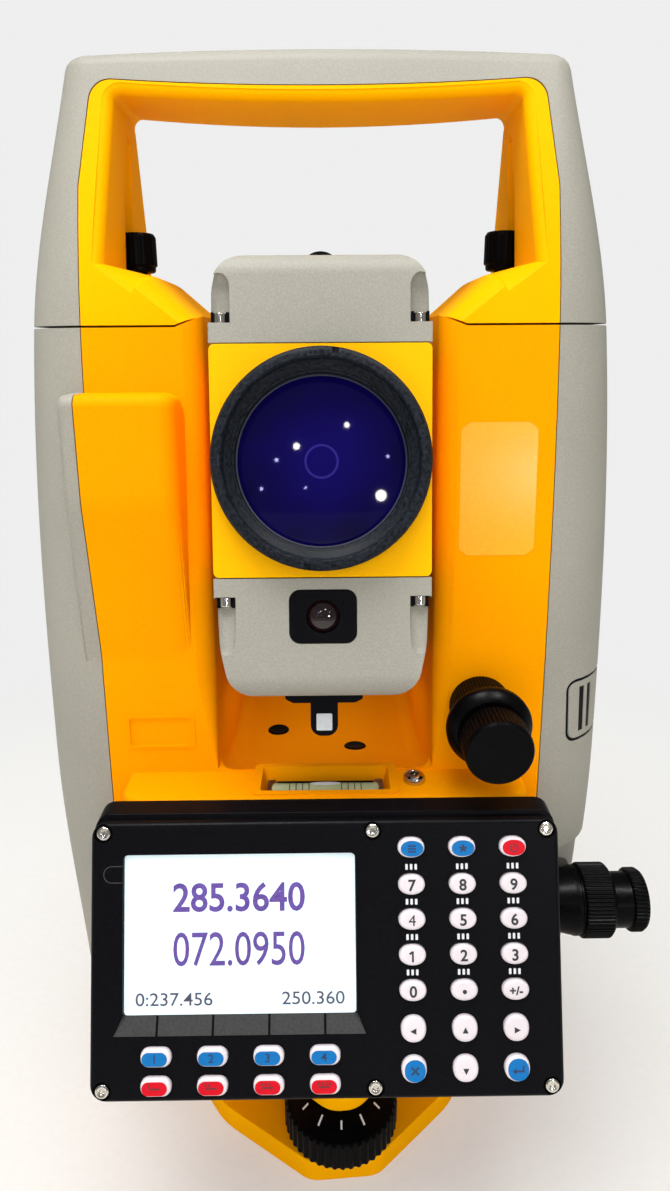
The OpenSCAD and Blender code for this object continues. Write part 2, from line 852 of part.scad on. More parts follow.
module grip_flares() {
    mid_x = (grip_top_half_w + grip_foot_half_w) / 2;
    bar_z = split_z + grip_top_h;
    translate([0, 0, handle_foot_z])
        linear_extrude(grip_top_h - handle_foot_h)
        polygon([[-mid_x, 0], [mid_x, 0], [mid_x + grip_flare, grip_flare_d],
            [-mid_x - grip_flare, grip_flare_d]]);
    sideways(-grip_top_half_w + grip_round, 2 * (grip_top_half_w - grip_round))
        polygon([[0, bar_z - grip_round], [0, bar_z], [grip_flare_d, bar_z + bar_flare],
            [grip_flare_d, bar_z - grip_round]]);
}

module handle_frame() {
    color(yellow)
    difference() {
        intersection() {
            casing(0);
            upright(-far, 2 * far) handle_outline(-seam_gap / 2);
            between([-far, -far, handle_z], [far, far, top_z + over]);
        }
        upright(-far, 2 * far) grip_outline();
        grip_flares();
        for (side = [-1, 1])
            translate([side * handle_screw_x, 0, 0]) {
                translate([0, 0, split_z - over])
                    cylinder(r = handle_stem_r + run_gap, h = handle_h, $fn = 48);
                translate([0, 0, handle_foot_z])
                    cylinder(r = handle_well_r, h = handle_screw_h + handle_well_room, $fn = 64);
            }
    }
}

module handle_cap() {
    color(grey)
    difference() {
        intersection() {
            casing(0);
            between([-far, -far, handle_z], [far, far, top_z + over]);
        }
        upright(-far, 2 * far) handle_outline(seam_gap / 2);
    }
}

module handle_screw(side) {
    color(black)
    translate([side * handle_screw_x, 0, 0]) {
        translate([0, 0, screw_head_z]) ribbed(handle_screw_r, handle_screw_h, handle_screw_ribs, 0.5);
        translate([0, 0, pocket_top_z - handle_stem_in])
            cylinder(r = handle_stem_r, h = screw_head_z - pocket_top_z + handle_stem_in + over, $fn = 48);
    }
}

module handle_screw_left() {
    handle_screw(-1);
}

module handle_screw_right() {
    handle_screw(1);
}

module plate_level() {
    cradle_h = 2.5;
    color("#b9d8a8") {
        between(
            [-vial_half_l + fit_gap, -vial_front_y + fit_gap, deck_z - vial_recess_d],
            [vial_half_l - fit_gap, -vial_rear_y - fit_gap, deck_z - vial_recess_d + cradle_h]);
        translate([0, vial_y, deck_z - vial_recess_d + cradle_h + vial_r - 0.6])
            along_x(-vial_half_l + 1, vial_r, 2 * vial_half_l - 2);
    }
}

// Keyboard
panel_z_h = panel_h * cos(panel_tilt);
// Height by which the housing's underside lies below the lower edge of the face
housing_drop = 6;
panel_w = window_side + window_w + window_gap + key_w + 2 * column_pitch + key_side;
column_x = [for (i = [2:-1:0]) panel_w / 2 - key_side - key_w / 2 - i * column_pitch];
panel_screw_x = panel_w / 2 - 3.5;
panel_screw_y = panel_h / 2 - 3.1;
// Distance from the first column's keys to the middle screws
mid_screw_gap = 7;
panel_mid_x = column_x[0] - key_w / 2 - mid_screw_gap;
panel_screws = [for (x = [-panel_screw_x, panel_mid_x, panel_screw_x], s = [-1, 1]) [x, s * panel_screw_y]];
screw_head_r = 2.5;
screw_shank_r = 1.25;
screw_head_sink = 1.4;
screw_len = 9;
screw_boss_r = 3.4;
cavity_side = panel_w / 2 - 7;
cavity_low = panel_h / 2 - 1.2;
window_x = window_side + window_w / 2 - panel_w / 2;
window_s = 7;
window_sink = 1;
window_round = 1.5;
window_lip = 1.6;
key_gap = 0.2;
key_root = 1;
// Depth of the cavity: the keys' roots, their travel and the switch board below
switch_board_t = 4.2;
cavity_d = key_root + key_travel + switch_board_t;

// Keys: columns and rows of the face, across and up from its centre
fkey_w = 8.6;
fkey_h = 5.2;
fkey_pitch = 15.7;
// Distance by which the function keys stand right of the window's middle
fkey_shift = 0.25;
fkey_x = window_x + fkey_shift - 1.5 * fkey_pitch;
blue_s = -25.9;
red_s = -33.8;
number_s = [20.5, 10.8, 1.05, -8.7];
top_s = 30.8;
arrow_s = -19.1;
low_s = -30;
key_h = 5.7;
arrow_w = 7.1;
arrow_h = 7.3;
fkey_places = [for (i = [0:3]) fkey_x + i * fkey_pitch];
number_places = [for (s = number_s, x = column_x) [x, s]];
cavity_high = top_s + key_h / 2 + 1;

module panel_block() {
    intersection() {
        upright(-panel_y - panel_h, panel_y + panel_h - chin_y)
            translate([0, panel_z - housing_drop / 2])
            polygon(rounded_rect(panel_w, panel_z_h + housing_drop, panel_corner_r));
        on_panel()
            translate([0, 0, -far])
            linear_extrude(2 * far)
            polygon(rounded(
                [[-panel_w / 2, -panel_h / 2], [panel_w / 2, -panel_h / 2], [panel_w / 2, far],
                    [-panel_w / 2, far]],
                [panel_corner_r, panel_corner_r, 0, 0]));
    }
}

module panel_layer(low, high) {
    on_panel() between([-far, -far, low], [far, far, high]);
}

module keyboard_housing() {
    color(black)
    difference() {
        intersection() {
            panel_block();
            panel_layer(-far, -bezel_t);
        }
        on_panel() {
            difference() {
                between([-cavity_side, -cavity_low, -bezel_t - cavity_d],
                    [cavity_side, cavity_high, over - bezel_t]);
                for (side = [-1, 1])
                    translate([panel_mid_x, side * panel_screw_y, -far])
                    cylinder(r = screw_boss_r, h = far - bezel_t, $fn = 48);
            }
            for (p = panel_screws)
                translate([p.x, p.y, -screw_len - end_gap])
                cylinder(r = screw_shank_r + run_gap, h = screw_len, $fn = 32);
        }
    }
}

module key_holes() {
    grow = 2 * key_gap;
    for (x = fkey_places, s = [blue_s, red_s])
        translate([x, s]) stadium(fkey_w + grow, fkey_h + grow);
    for (p = concat(number_places, [for (x = column_x) [x, top_s]]))
        translate(p) stadium(key_w + grow, key_h + grow);
    for (x = column_x, s = [arrow_s, low_s])
        translate([x, s]) stadium(arrow_w + grow, arrow_h + grow);
}

module keyboard_bezel() {
    color(black)
    difference() {
        intersection() {
            panel_block();
            panel_layer(-bezel_t, 0);
        }
        on_panel() {
            translate([0, 0, -bezel_t - over]) linear_extrude(bezel_t + 2 * over) key_holes();
            translate([window_x, window_s, -bezel_t - over])
                linear_extrude(bezel_t + 2 * over)
                polygon(rounded_rect(window_w, window_h, window_round));
            for (p = panel_screws)
                translate([p.x, p.y, -bezel_t - over]) {
                    cylinder(r = screw_shank_r + run_gap, h = bezel_t + 2 * over, $fn = 32);
                    translate([0, 0, bezel_t + over - screw_head_sink])
                        cylinder(r = screw_head_r + 2 * run_gap, h = far, $fn = 48);
                }
        }
    }
}

module display_panel() {
    board_t = 4;
    color("#dfe3ea")
    on_panel()
    translate([window_x, window_s, 0]) {
        translate([0, 0, -bezel_t - board_t])
            linear_extrude(board_t)
            square([window_w + 2 * window_lip, window_h + 2 * window_lip], center = true);
        translate([0, 0, -bezel_t - over])
            linear_extrude(bezel_t + over - window_sink)
            polygon(rounded_rect(window_w - key_gap, window_h - key_gap, window_round));
    }
}

module case_screws() {
    color(silver) {
        on_panel()
        for (p = panel_screws)
            translate([p.x, p.y, 0]) {
                translate([0, 0, -screw_head_sink]) cylinder(r = screw_head_r, h = screw_head_sink, $fn = 48);
                translate([0, 0, -screw_len]) cylinder(r = screw_shank_r, h = screw_len - end_gap, $fn = 32);
            }
        translate([adjust_screw_x, vial_y, deck_z]) {
            cylinder(r = adjust_screw_r, h = adjust_head_h, $fn = 48);
            translate([0, 0, -adjust_shank_len])
                cylinder(r = adjust_shank_r, h = adjust_shank_len + adjust_head_h / 2, $fn = 32);
        }
    }
}

module key_at(x, s, w, h, tone) {
    color(tone)
    on_panel()
    translate([x, s, -bezel_t - key_root])
    linear_extrude(bezel_t + key_root + key_proud)
    stadium(w, h);
}

module number_keys() {
    for (p = number_places)
        key_at(p.x, p.y, key_w, key_h, white_key);
}

module blue_key(i) {
    key_at(fkey_places[i], blue_s, fkey_w, fkey_h, "#3f4fa0");
}

module red_key(i) {
    key_at(fkey_places[i], red_s, fkey_w, fkey_h, "#b03a48");
}

module top_key(i, tone) {
    key_at(column_x[i], top_s, key_w, key_h, tone);
}

module arrow_key(i, s) {
    key_at(column_x[i], s, arrow_w, arrow_h, white_key);
}

// Clamps, drawn along their axis from the face that they come out of
module clamp_knob(neck_len) {
    color(black)
    difference() {
        union() {
            translate([0, 0, -clamp_sleeve_len])
                cylinder(r = clamp_sleeve_r, h = clamp_sleeve_len + neck_len, $fn = 64);
            translate([0, 0, end_gap]) cylinder(r = neck_r, h = neck_len, $fn = 64);
            translate([0, 0, neck_len]) ribbed(clamp_r, clamp_len, 40, 0.7);
        }
        translate([0, 0, -clamp_sleeve_len - over])
            cylinder(r = tangent_stem_r + run_gap, h = far, $fn = 48);
    }
}

module tangent_knob(neck_len) {
    color(black) {
        translate([0, 0, neck_len + clamp_len + end_gap]) ribbed(tangent_r, tangent_len, 32, 0.6);
        translate([0, 0, -tangent_stem_in])
            cylinder(r = tangent_stem_r, h = tangent_stem_in + neck_len + clamp_len + over, $fn = 48);
    }
}

module vertical_clamp_knob() {
    at_v_clamp() clamp_knob(v_neck_len);
}

module vertical_tangent_knob() {
    at_v_clamp() tangent_knob(v_neck_len);
}

module horizontal_clamp_knob() {
    at_h_clamp() clamp_knob(h_neck_len);
}

module horizontal_tangent_knob() {
    at_h_clamp() tangent_knob(h_neck_len);
}

// Telescope, drawn level with its trunnion axis at the origin
axle_flange_r = axle_r + 4;
axle_bore_r = axle_r - 4;
axle_flange_t = fork_half_w - scope_half_w - 1;
axle_end_x = fork_half_w + inner_wall + 14;
v_circle_x = fork_half_w + inner_wall + 6;
lens_seat_y = -scope_front - 1;
lens_edge_t = 5;
lens_bulge = 2;
spigot_r = lens_r + 2.1;
spigot_len = 18;
light_path_r = 20;
light_path_y = scope_rear - 16;
cover_seam = 0.3;
scope_cover_wall = 3;
upper_seam_z = scope_half_h + cover_seam;
upper_top_z = scope_half_h + upper_cover_h;
lower_bottom_z = -scope_half_h - lower_cover_h;
upper_brow_x = scope_half_w - 0.8;
upper_brow_z = upper_top_z - 6;
upper_crown_x = scope_half_w - 4.5;
lower_cheek_x = scope_half_w - 1;
lower_cheek_z = -upper_seam_z - 18;
lower_jaw_x = scope_half_w - 4.2;
scope_screw_x = 25.2;
scope_screw_rise = 6;
scope_screw_r = 2.4;
scope_screw_h = 3.5;
scope_well_r = scope_screw_r + 0.8;
scope_screw_sink = 6;
guide_w = 17.8;
guide_h = 14.2;
guide_s = -scope_half_h - 10.6;
guide_d = 4;
guide_round = 3;
guide_proud = 0.6;
guide_lens_r = 4.5;
focus_y = scope_rear + end_gap;
eye_y = focus_y + focus_len + 2;
eye_tube_r = eyepiece_r - 4;
eye_ring_r = eye_tube_r + 5;
eye_tube_y = scope_rear - 14;
eye_shoulder_y = eye_y - end_gap;
eye_end_y = eye_y + eye_ring_len + 1;
eye_cup_d = 5;

module scope_screw_places() {
    for (end = [-1, 1], x = [-scope_screw_x, scope_screw_x], up = [-1, 1])
        translate([x, end < 0 ? -scope_front : scope_rear, up * (scope_half_h + scope_screw_rise)])
        rotate([end < 0 ? 90 : -90, 0, 0])
        children();
}

module trunnion_bearings() {
    color(silver)
    translate([0, 0, trunnion_z])
    for (side = [-1, 1])
        difference() {
            along_x(side > 0 ? fork_half_w : -fork_half_w - inner_wall, bearing_r - run_gap, inner_wall);
            along_x(-far, axle_r + run_gap, 2 * far);
        }
}

module telescope_housing() {
    color(yellow)
    on_scope()
    difference() {
        upright(-scope_front, scope_front + scope_rear)
            polygon(rounded_rect(2 * scope_half_w, 2 * scope_half_h, 1.5));
        along_y(-scope_front - over, spigot_r + run_gap, spigot_len + over);
        along_y(-scope_front, light_path_r, scope_front + light_path_y);
        along_y(0, eyepiece_r + run_gap, far);
        along_x(-far, axle_bore_r, 2 * far);
    }
}

module upper_outline() {
    polygon(rounded(
        [[-scope_half_w, upper_seam_z], [scope_half_w, upper_seam_z], [upper_brow_x, upper_brow_z],
            [upper_crown_x, upper_top_z], [-upper_crown_x, upper_top_z], [-upper_brow_x, upper_brow_z]],
        [0, 0, 4, 5, 5, 4]));
}

module lower_outline() {
    polygon(rounded(
        [[-scope_half_w, -upper_seam_z], [-lower_cheek_x, lower_cheek_z], [-lower_jaw_x, lower_bottom_z],
            [lower_jaw_x, lower_bottom_z], [lower_cheek_x, lower_cheek_z], [scope_half_w, -upper_seam_z]],
        [0, 20, 8, 8, 20, 0]));
}

module cover_hollow(low, high) {
    side = scope_half_w - scope_cover_wall - 6;
    end = scope_screw_sink + 4;
    between([-side, end - scope_front, low], [side, scope_rear - end - 6, high]);
}

module telescope_upper_cover() {
    color(grey)
    on_scope()
    difference() {
        intersection() {
            upright(-scope_front, scope_front + scope_rear) upper_outline();
            sideways(-scope_half_w - over, 2 * (scope_half_w + over))
                polygon(rounded(
                    [[-scope_front, upper_seam_z], [scope_rear, upper_seam_z], [scope_rear, upper_top_z],
                        [-scope_front, upper_top_z]],
                    [0, 0, 14, 6]));
        }
        scope_screw_places() translate([0, 0, -scope_screw_sink])
            cylinder(r = scope_well_r, h = far, $fn = 48);
        cover_hollow(upper_seam_z - over, upper_top_z - scope_cover_wall);
    }
}

module telescope_lower_cover() {
    color(grey)
    on_scope()
    difference() {
        intersection() {
            upright(-scope_front, scope_front + scope_rear) lower_outline();
            sideways(-scope_half_w - over, 2 * (scope_half_w + over))
                polygon(rounded(
                    [[-scope_front, -upper_seam_z], [-scope_front, lower_bottom_z],
                        [scope_rear, lower_bottom_z], [scope_rear, -upper_seam_z]],
                    [0, 7, 22, 0]));
        }
        scope_screw_places() translate([0, 0, -scope_screw_sink])
            cylinder(r = scope_well_r, h = far, $fn = 48);
        upright(-scope_front - over, guide_d + over)
            translate([0, guide_s])
            polygon(rounded_rect(guide_w + fit_gap, guide_h + fit_gap, guide_round));
        cover_hollow(lower_bottom_z + scope_cover_wall, over - upper_seam_z);
    }
}

module telescope_screws() {
    color(silver)
    on_scope()
    scope_screw_places()
    translate([0, 0, -scope_screw_sink])
    cylinder(r = scope_screw_r, h = scope_screw_h, $fn = 48);
}

module guide_window() {
    color(black)
    on_scope() {
        upright(-scope_front, guide_d)
            translate([0, guide_s])
            polygon(rounded_rect(guide_w, guide_h, guide_round));
        translate([0, 0, guide_s]) along_y(-scope_front - guide_proud, guide_lens_r, guide_d / 2);
    }
}

module objective_ring() {
    color(black)
    on_scope()
    rotate([90, 0, 0])
    spun([
        [spigot_r, scope_front - spigot_len],
        [spigot_r, scope_front],
        [ring_r - 1, scope_front],
        [ring_r, scope_front + 1],
        [ring_r, scope_front + ring_len - 1],
        [ring_r - 1, scope_front + ring_len],
        [lens_r + 2.8, scope_front + ring_len],
        [lens_r + run_gap, -lens_seat_y],
        [lens_r + run_gap, -lens_seat_y - lens_edge_t],
        [light_path_r, -lens_seat_y - lens_edge_t],
        [light_path_r, scope_front - spigot_len]
    ]);
}

module objective_lens() {
    bulge_r = (lens_r ^ 2 + lens_bulge ^ 2) / (2 * lens_bulge);
    sweep = asin(lens_r / bulge_r);
    front = -lens_seat_y - lens_bulge;
    color(glass)
    on_scope()
    rotate([90, 0, 0])
    spun(concat(
        [[0, -lens_seat_y - lens_edge_t], [lens_r, -lens_seat_y - lens_edge_t]],
        [for (i = [6:-1:1])
            [bulge_r * sin(sweep * i / 6), front + lens_bulge - bulge_r * (1 - cos(sweep * i / 6))]],
        [[0, front + lens_bulge]]));
}

module sights() {
    foot_h = 3;
    lower_foot_w = 22;
    lower_stem_w = 8;
    lower_stem_d = 18;
    lower_y = -49;
    lower_h = 13;
    upper_foot_w = 18;
    upper_foot_d = 34;
    upper_stem_w = 5;
    upper_stem_d = 30;
    upper_y = -17;
    upper_h = 7.4;
    sight_r = 3.6;
    color(black)
    on_scope() {
        translate([0, lower_y, lower_bottom_z - foot_h]) block([lower_foot_w, lower_foot_w], foot_h);
        translate([0, lower_y, lower_bottom_z - lower_h]) block([lower_stem_w, lower_stem_d], lower_h);
        translate([0, upper_y, upper_top_z]) block([upper_foot_w, upper_foot_d], foot_h);
        translate([0, upper_y, upper_top_z]) block([upper_stem_w, upper_stem_d], upper_h);
        translate([0, 0, upper_top_z + upper_h]) along_y(upper_y - upper_foot_d / 2, sight_r, upper_foot_d);
    }
}

module trunnion_axles() {
    color(silver)
    on_scope()
    for (side = [-1, 1])
        mirror([side > 0 ? 0 : 1, 0, 0]) {
            along_x(scope_half_w, axle_flange_r, axle_flange_t);
            along_x(scope_half_w, axle_r, axle_end_x - scope_half_w);
        }
}

module vertical_circle() {
    color(glass)
    on_scope()
    difference() {
        along_x(-v_circle_x - circle_t, v_circle_r, circle_t);
        along_x(-far, axle_r + run_gap, 2 * far);
    }
}

module eyepiece_tube() {
    color(black)
    on_scope()
    rotate([-90, 0, 0])
    spun([
        [0, eye_tube_y],
        [eyepiece_r, eye_tube_y],
        [eyepiece_r, eye_shoulder_y],
        [eye_tube_r, eye_shoulder_y],
        [eye_tube_r, eye_end_y],
        [eye_tube_r - 2, eye_end_y],
        [eye_tube_r - 4, eye_end_y - eye_cup_d],
        [0, eye_end_y - eye_cup_d]
    ]);
}

module focus_ring() {
    color(black)
    on_scope()
    rotate([-90, 0, 0])
    translate([0, 0, focus_y])
    difference() {
        ribbed(focus_r, focus_len, 48, 0.8);
        translate([0, 0, -over]) cylinder(r = eyepiece_r + run_gap, h = focus_len + 2 * over, $fn = 96);
    }
}

module eyepiece_ring() {
    color(black)
    on_scope()
    rotate([-90, 0, 0])
    translate([0, 0, eye_y])
    difference() {
        ribbed(eye_ring_r, eye_ring_len, 36, 0.6);
        translate([0, 0, -over]) cylinder(r = eye_tube_r + run_gap, h = eye_ring_len + 2 * over, $fn = 96);
    }
}

base_plate();
tribrach_body();
circular_level();
lock_lever();
foot_screw_front();
foot_screw_left();
foot_screw_right();
instrument_base();
azimuth_spindle();
horizontal_circle();
alidade_frame();
left_side_cover();
right_side_cover();
battery_pack();
battery_latch();
handle_frame();
handle_cap();
handle_screw_left();
handle_screw_right();
plate_level();
keyboard_housing();
keyboard_bezel();
display_panel();
case_screws();
vertical_clamp_knob();
vertical_tangent_knob();
horizontal_clamp_knob();
horizontal_tangent_knob();
trunnion_bearings();
telescope_housing();
telescope_upper_cover();
telescope_lower_cover();
telescope_screws();
objective_ring();
objective_lens();
guide_window();
sights();
trunnion_axles();
vertical_circle();
eyepiece_tube();
focus_ring();
eyepiece_ring();
number_keys();
blue_key(0);  // blue_key_1
blue_key(1);  // blue_key_2
blue_key(2);  // blue_key_3
blue_key(3);  // blue_key_4
red_key(0);  // red_key_1
red_key(1);  // red_key_2
red_key(2);  // red_key_3
red_key(3);  // red_key_4
top_key(0, "#3f4fa0");  // menu_key
top_key(1, "#3f4fa0");  // star_key
top_key(2, "#b03a48");  // power_key
arrow_key(0, arrow_s);  // left_key
arrow_key(1, arrow_s);  // up_key
arrow_key(2, arrow_s);  // right_key
arrow_key(1, low_s);  // down_key
arrow_key(0, low_s);  // escape_key
arrow_key(2, low_s);  // enter_key
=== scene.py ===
"""Dressed model of a surveying total station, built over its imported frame.

Lengths are in millimetres until a piece is finished, and in metres after that.
"""

import logging
import math
from dataclasses import dataclass
from enum import Enum
from typing import Callable, Iterable, Optional, Sequence

import bmesh
import bpy
from mathutils import Matrix, Vector


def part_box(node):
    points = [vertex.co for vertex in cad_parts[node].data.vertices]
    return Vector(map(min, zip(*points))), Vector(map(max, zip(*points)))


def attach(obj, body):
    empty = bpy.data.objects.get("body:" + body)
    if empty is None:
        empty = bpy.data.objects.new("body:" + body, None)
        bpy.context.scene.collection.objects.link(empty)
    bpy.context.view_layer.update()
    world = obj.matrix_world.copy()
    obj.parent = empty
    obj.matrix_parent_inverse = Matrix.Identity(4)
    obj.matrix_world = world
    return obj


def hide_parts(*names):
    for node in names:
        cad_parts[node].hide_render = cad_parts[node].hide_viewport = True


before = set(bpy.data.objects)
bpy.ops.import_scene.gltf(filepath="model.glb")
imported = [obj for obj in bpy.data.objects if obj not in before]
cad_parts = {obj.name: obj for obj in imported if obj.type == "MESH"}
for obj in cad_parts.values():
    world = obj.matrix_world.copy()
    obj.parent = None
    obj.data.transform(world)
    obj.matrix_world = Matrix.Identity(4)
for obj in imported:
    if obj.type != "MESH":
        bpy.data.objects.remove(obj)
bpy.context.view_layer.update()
LOG = logging.getLogger("total_station")
MM = 0.001
# Reach of cutting forms, well past the instrument's sides, front and top
FAR_X = 120.0
FAR_Y = 90.0
FAR_Z = 400.0
# Half thickness of a printed mark
INK_T = 0.03
# Height of a figure as a share of its font's size
FIGURE_SHARE = 0.69

Flat = tuple[float, float]
Spot = tuple[float, float, float]
Rgba = tuple[float, float, float, float]


class Cut(Enum):
    """How one solid changes another."""

    JOIN = "UNION"
    TAKE = "DIFFERENCE"
    KEEP = "INTERSECT"


class Grain(Enum):
    """What breaks up a finish under the eye."""

    POWDER = "powder"
    CELLS = "cells"


def linear(code: str) -> Rgba:
    """Turns an sRGB hex colour into linear light.

    Args:
        code: Colour such as "#F7A600".

    Returns:
        Linear red, green, blue and an alpha of 1.
    """
    parts = [int(code[i:i + 2], 16) / 255 for i in (1, 3, 5)]
    r, g, b = [p / 12.92 if p <= 0.04045 else ((p + 0.055) / 1.055) ** 2.4 for p in parts]
    return (r, g, b, 1.0)


def add(tree: bpy.types.NodeTree, kind: str, inputs: Optional[dict] = None,
        **settings: object) -> bpy.types.Node:
    """Adds a node with its settings and its links.

    Args:
        tree: Node tree to add to.
        kind: Blender's name of the node type.
        inputs: Socket name or number to a value, or to the output that feeds it.
        settings: Attributes of the node.

    Returns:
        The new node.
    """
    made = tree.nodes.new(kind)
    for key, value in settings.items():
        setattr(made, key, value)
    for key, value in (inputs or {}).items():
        if isinstance(value, bpy.types.NodeSocket):
            tree.links.new(value, made.inputs[key])
        else:
            made.inputs[key].default_value = value
    return made


def fresh(name: str, colour: str) -> bpy.types.Material:
    """Makes a node material without nodes.

    Args:
        name: Name of the material.
        colour: Its colour in a plain view.

    Returns:
        The material.
    """
    made = bpy.data.materials.new(name)
    made.use_nodes = True
    made.diffuse_color = linear(colour)
    made.node_tree.nodes.clear()
    return made


def direct_view(tree: bpy.types.NodeTree) -> bpy.types.NodeSocket:
    """Tells where the camera looks, straight or through glass.

    Args:
        tree: Node tree to add to.

    Returns:
        A socket that is 1 there and 0 elsewhere.
    """
    path = add(tree, "ShaderNodeLightPath")
    seen = add(tree, "ShaderNodeMath", {
        0: path.outputs["Is Camera Ray"], 1: path.outputs["Is Transmission Ray"]}, operation="MAXIMUM")
    return seen.outputs[0]


@dataclass(frozen=True)
class Finish:
    """A surface: its material, how it was made and the pattern that this leaves.

    Attributes:
        name: Material and process.
        base: Main colour.
        fleck: Colour of the grain's high spots.
        grain_mm: Width of the grain.
        share: Most of the fleck colour that shows, from 0 to 1.
        roughness: Mean roughness.
        swing: Change of the roughness with the grain.
        relief_mm: Height of the grain.
        metallic: 1 for bare metal.
        coat: Weight of a clear coat.
        level: Specular level, 0.5 for an IOR of 1.5.
        grain: Kind of grain.
        stretch: Stretch of the grain along the axes.
        glow: Strength of its own light.
        mottle_mm: Width of the slow change of shade.
    """

    name: str
    base: str
    fleck: str
    grain_mm: float
    share: float
    roughness: float
    swing: float = 0.06
    relief_mm: float = 0.0
    metallic: float = 0.0
    coat: float = 0.0
    level: float = 0.5
    grain: Grain = Grain.POWDER
    stretch: Spot = (1.0, 1.0, 1.0)
    glow: float = 0.0
    mottle_mm: float = 70.0

    def material(self) -> bpy.types.Material:
        """Gives the finish as a node material, made once.

        Returns:
            The material.
        """
        found = bpy.data.materials.get(self.name)
        if found:
            return found
        made = fresh(self.name, self.base)
        tree = made.node_tree
        place = add(tree, "ShaderNodeTexCoord")
        spread = add(tree, "ShaderNodeMapping", {"Vector": place.outputs["Object"], "Scale": self.stretch})
        scale = 1 / (self.grain_mm * MM)
        if self.grain is Grain.CELLS:
            fine = add(tree, "ShaderNodeTexVoronoi", {
                "Vector": spread.outputs[0], "Scale": scale}, feature="F1")
            height = fine.outputs["Distance"]
        else:
            fine = add(tree, "ShaderNodeTexNoise", {
                "Vector": spread.outputs[0], "Scale": scale, "Detail": 3.0})
            height = fine.outputs["Fac"]
        wide = add(tree, "ShaderNodeTexNoise", {
            "Vector": place.outputs["Object"], "Scale": 1 / (self.mottle_mm * MM), "Detail": 2.0})
        picked = add(tree, "ShaderNodeMapRange", {
            "Value": height, "From Min": 0.3, "From Max": 0.7, "To Min": 0.0, "To Max": self.share})
        spotted = add(tree, "ShaderNodeMix", {
            0: picked.outputs[0], 6: linear(self.base), 7: linear(self.fleck)}, data_type="RGBA")
        shade = add(tree, "ShaderNodeMapRange", {
            "Value": wide.outputs["Fac"], "From Min": 0.3, "From Max": 0.7, "To Min": 0.94, "To Max": 1.05})
        toned = add(tree, "ShaderNodeVectorMath", {0: spotted.outputs[2], "Scale": shade.outputs[0]},
                    operation="SCALE")
        rough = add(tree, "ShaderNodeMapRange", {
            "Value": height, "From Min": 0.25, "From Max": 0.75,
            "To Min": max(0.02, self.roughness - self.swing),
            "To Max": min(1.0, self.roughness + self.swing)})
        inputs: dict = {
            "Base Color": toned.outputs[0], "Roughness": rough.outputs[0], "Metallic": self.metallic,
            "Specular IOR Level": self.level, "Coat Weight": self.coat, "Coat Roughness": 0.25}
        if self.relief_mm > 0:
            bump = add(tree, "ShaderNodeBump", {
                "Height": height, "Strength": 0.6, "Distance": self.relief_mm * MM})
            inputs["Normal"] = bump.outputs[0]
        if self.glow > 0:
            inputs["Emission Color"] = toned.outputs[0]
            inputs["Emission Strength"] = self.glow
        shader = add(tree, "ShaderNodeBsdfPrincipled", inputs)
        add(tree, "ShaderNodeOutputMaterial", {"Surface": shader.outputs[0]})
        return made


# Ground edge of a lens: a thin matt line, paler than the coated face
GROUND_GLASS = Finish("ground_glass_edge", "#22263C", "#2C3048", 0.3, 0.6, 0.5, 0.05, level=0.4)
# Powder coat on die-cast aluminium: an even, slightly pebbled orange-yellow with almost no sheen; on the
# handle and the base it is painted lighter than on the fork, as painted light from above
LIT_YELLOW = Finish("powder_coated_die_cast_aluminium_yellow_painted_lighter", "#FFB000", "#FFB800", 0.9, 0.5, 0.55, 0.07, 0.03,
                level=0.008)
# The same powder coat on the fork's larger casting, painted a shade deeper than the handle's and telescope's
# copies, as painted shade on its front-facing standards
SHADED_FORK_YELLOW = Finish("powder_coated_die_cast_aluminium_yellow_painted_deeper", "#FB9C00", "#FFA400", 0.9, 0.5, 0.55, 0.07,
                     0.03, level=0.008)
# Paint on the telescope's aluminium block: a little smoother than the castings, and painted a clearer,
# lighter yellow as painted light, since its front tilts up toward the lamps
LIT_SCOPE_YELLOW = Finish("aluminium_yellow_paint_painted_lighter", "#FFB600", "#FFBE04", 0.9, 0.5, 0.5, 0.06, 0.02, level=0.03)
# Textured powder coat on moulded covers: warm grey with fine light and dark specks, almost no sheen
GREY = Finish("textured_powder_coat_warm_grey", "#98958A", "#A29F94", 0.5, 0.8, 0.55, 0.08, 0.03,
              grain=Grain.CELLS, level=0.15)
# Spark-textured black ABS: a satin black whose fine grain catches small lights
BLACK = Finish("moulded_abs_satin_black", "#07070A", "#0D0E12", 0.6, 0.8, 0.40, 0.10, 0.03, level=0.05)
# Moulded nylon of the knobs: a deeper and smoother black, on which ribs catch thin lights
KNOB = Finish("moulded_nylon_black", "#030304", "#070709", 1.1, 0.7, 0.34, 0.08, 0.02, level=0.05)
# Bead-blasted and anodised aluminium ring: matte blue-black with pale specks, drawn coarse enough to show
RING = Finish("bead_blasted_anodised_aluminium_black", "#07090C", "#2A2F37", 0.8, 0.9, 0.48, 0.12, 0.05,
              level=0.07)
# Ledge under the display: coarser moulded grain, a shade lighter than the face
LEDGE = Finish("moulded_abs_coarse_grain", "#2A2A2A", "#3A3A3A", 0.7, 0.9, 0.6, 0.08, 0.06, level=0.3)
# Turned steel: grey metal with fine marks across the axis
STEEL = Finish("turned_steel", "#A9A9A6", "#C6C6C3", 0.4, 0.6, 0.28, 0.10, 0.0, metallic=1.0,
               stretch=(1.0, 6.0, 6.0))
# Nickel-plated screws: bright, slightly warm, with small plating marks
NICKEL = Finish("nickel_plated_steel", "#C9C5BB", "#DDD9D0", 0.5, 0.5, 0.20, 0.08, 0.0, metallic=1.0)
# Silicone rubber key: matte pinkish white, softly mottled
WHITE_KEY = Finish("silicone_rubber_white", "#D8CFD3", "#E2DADE", 0.8, 0.6, 0.55, 0.06, 0.015, level=0.35)
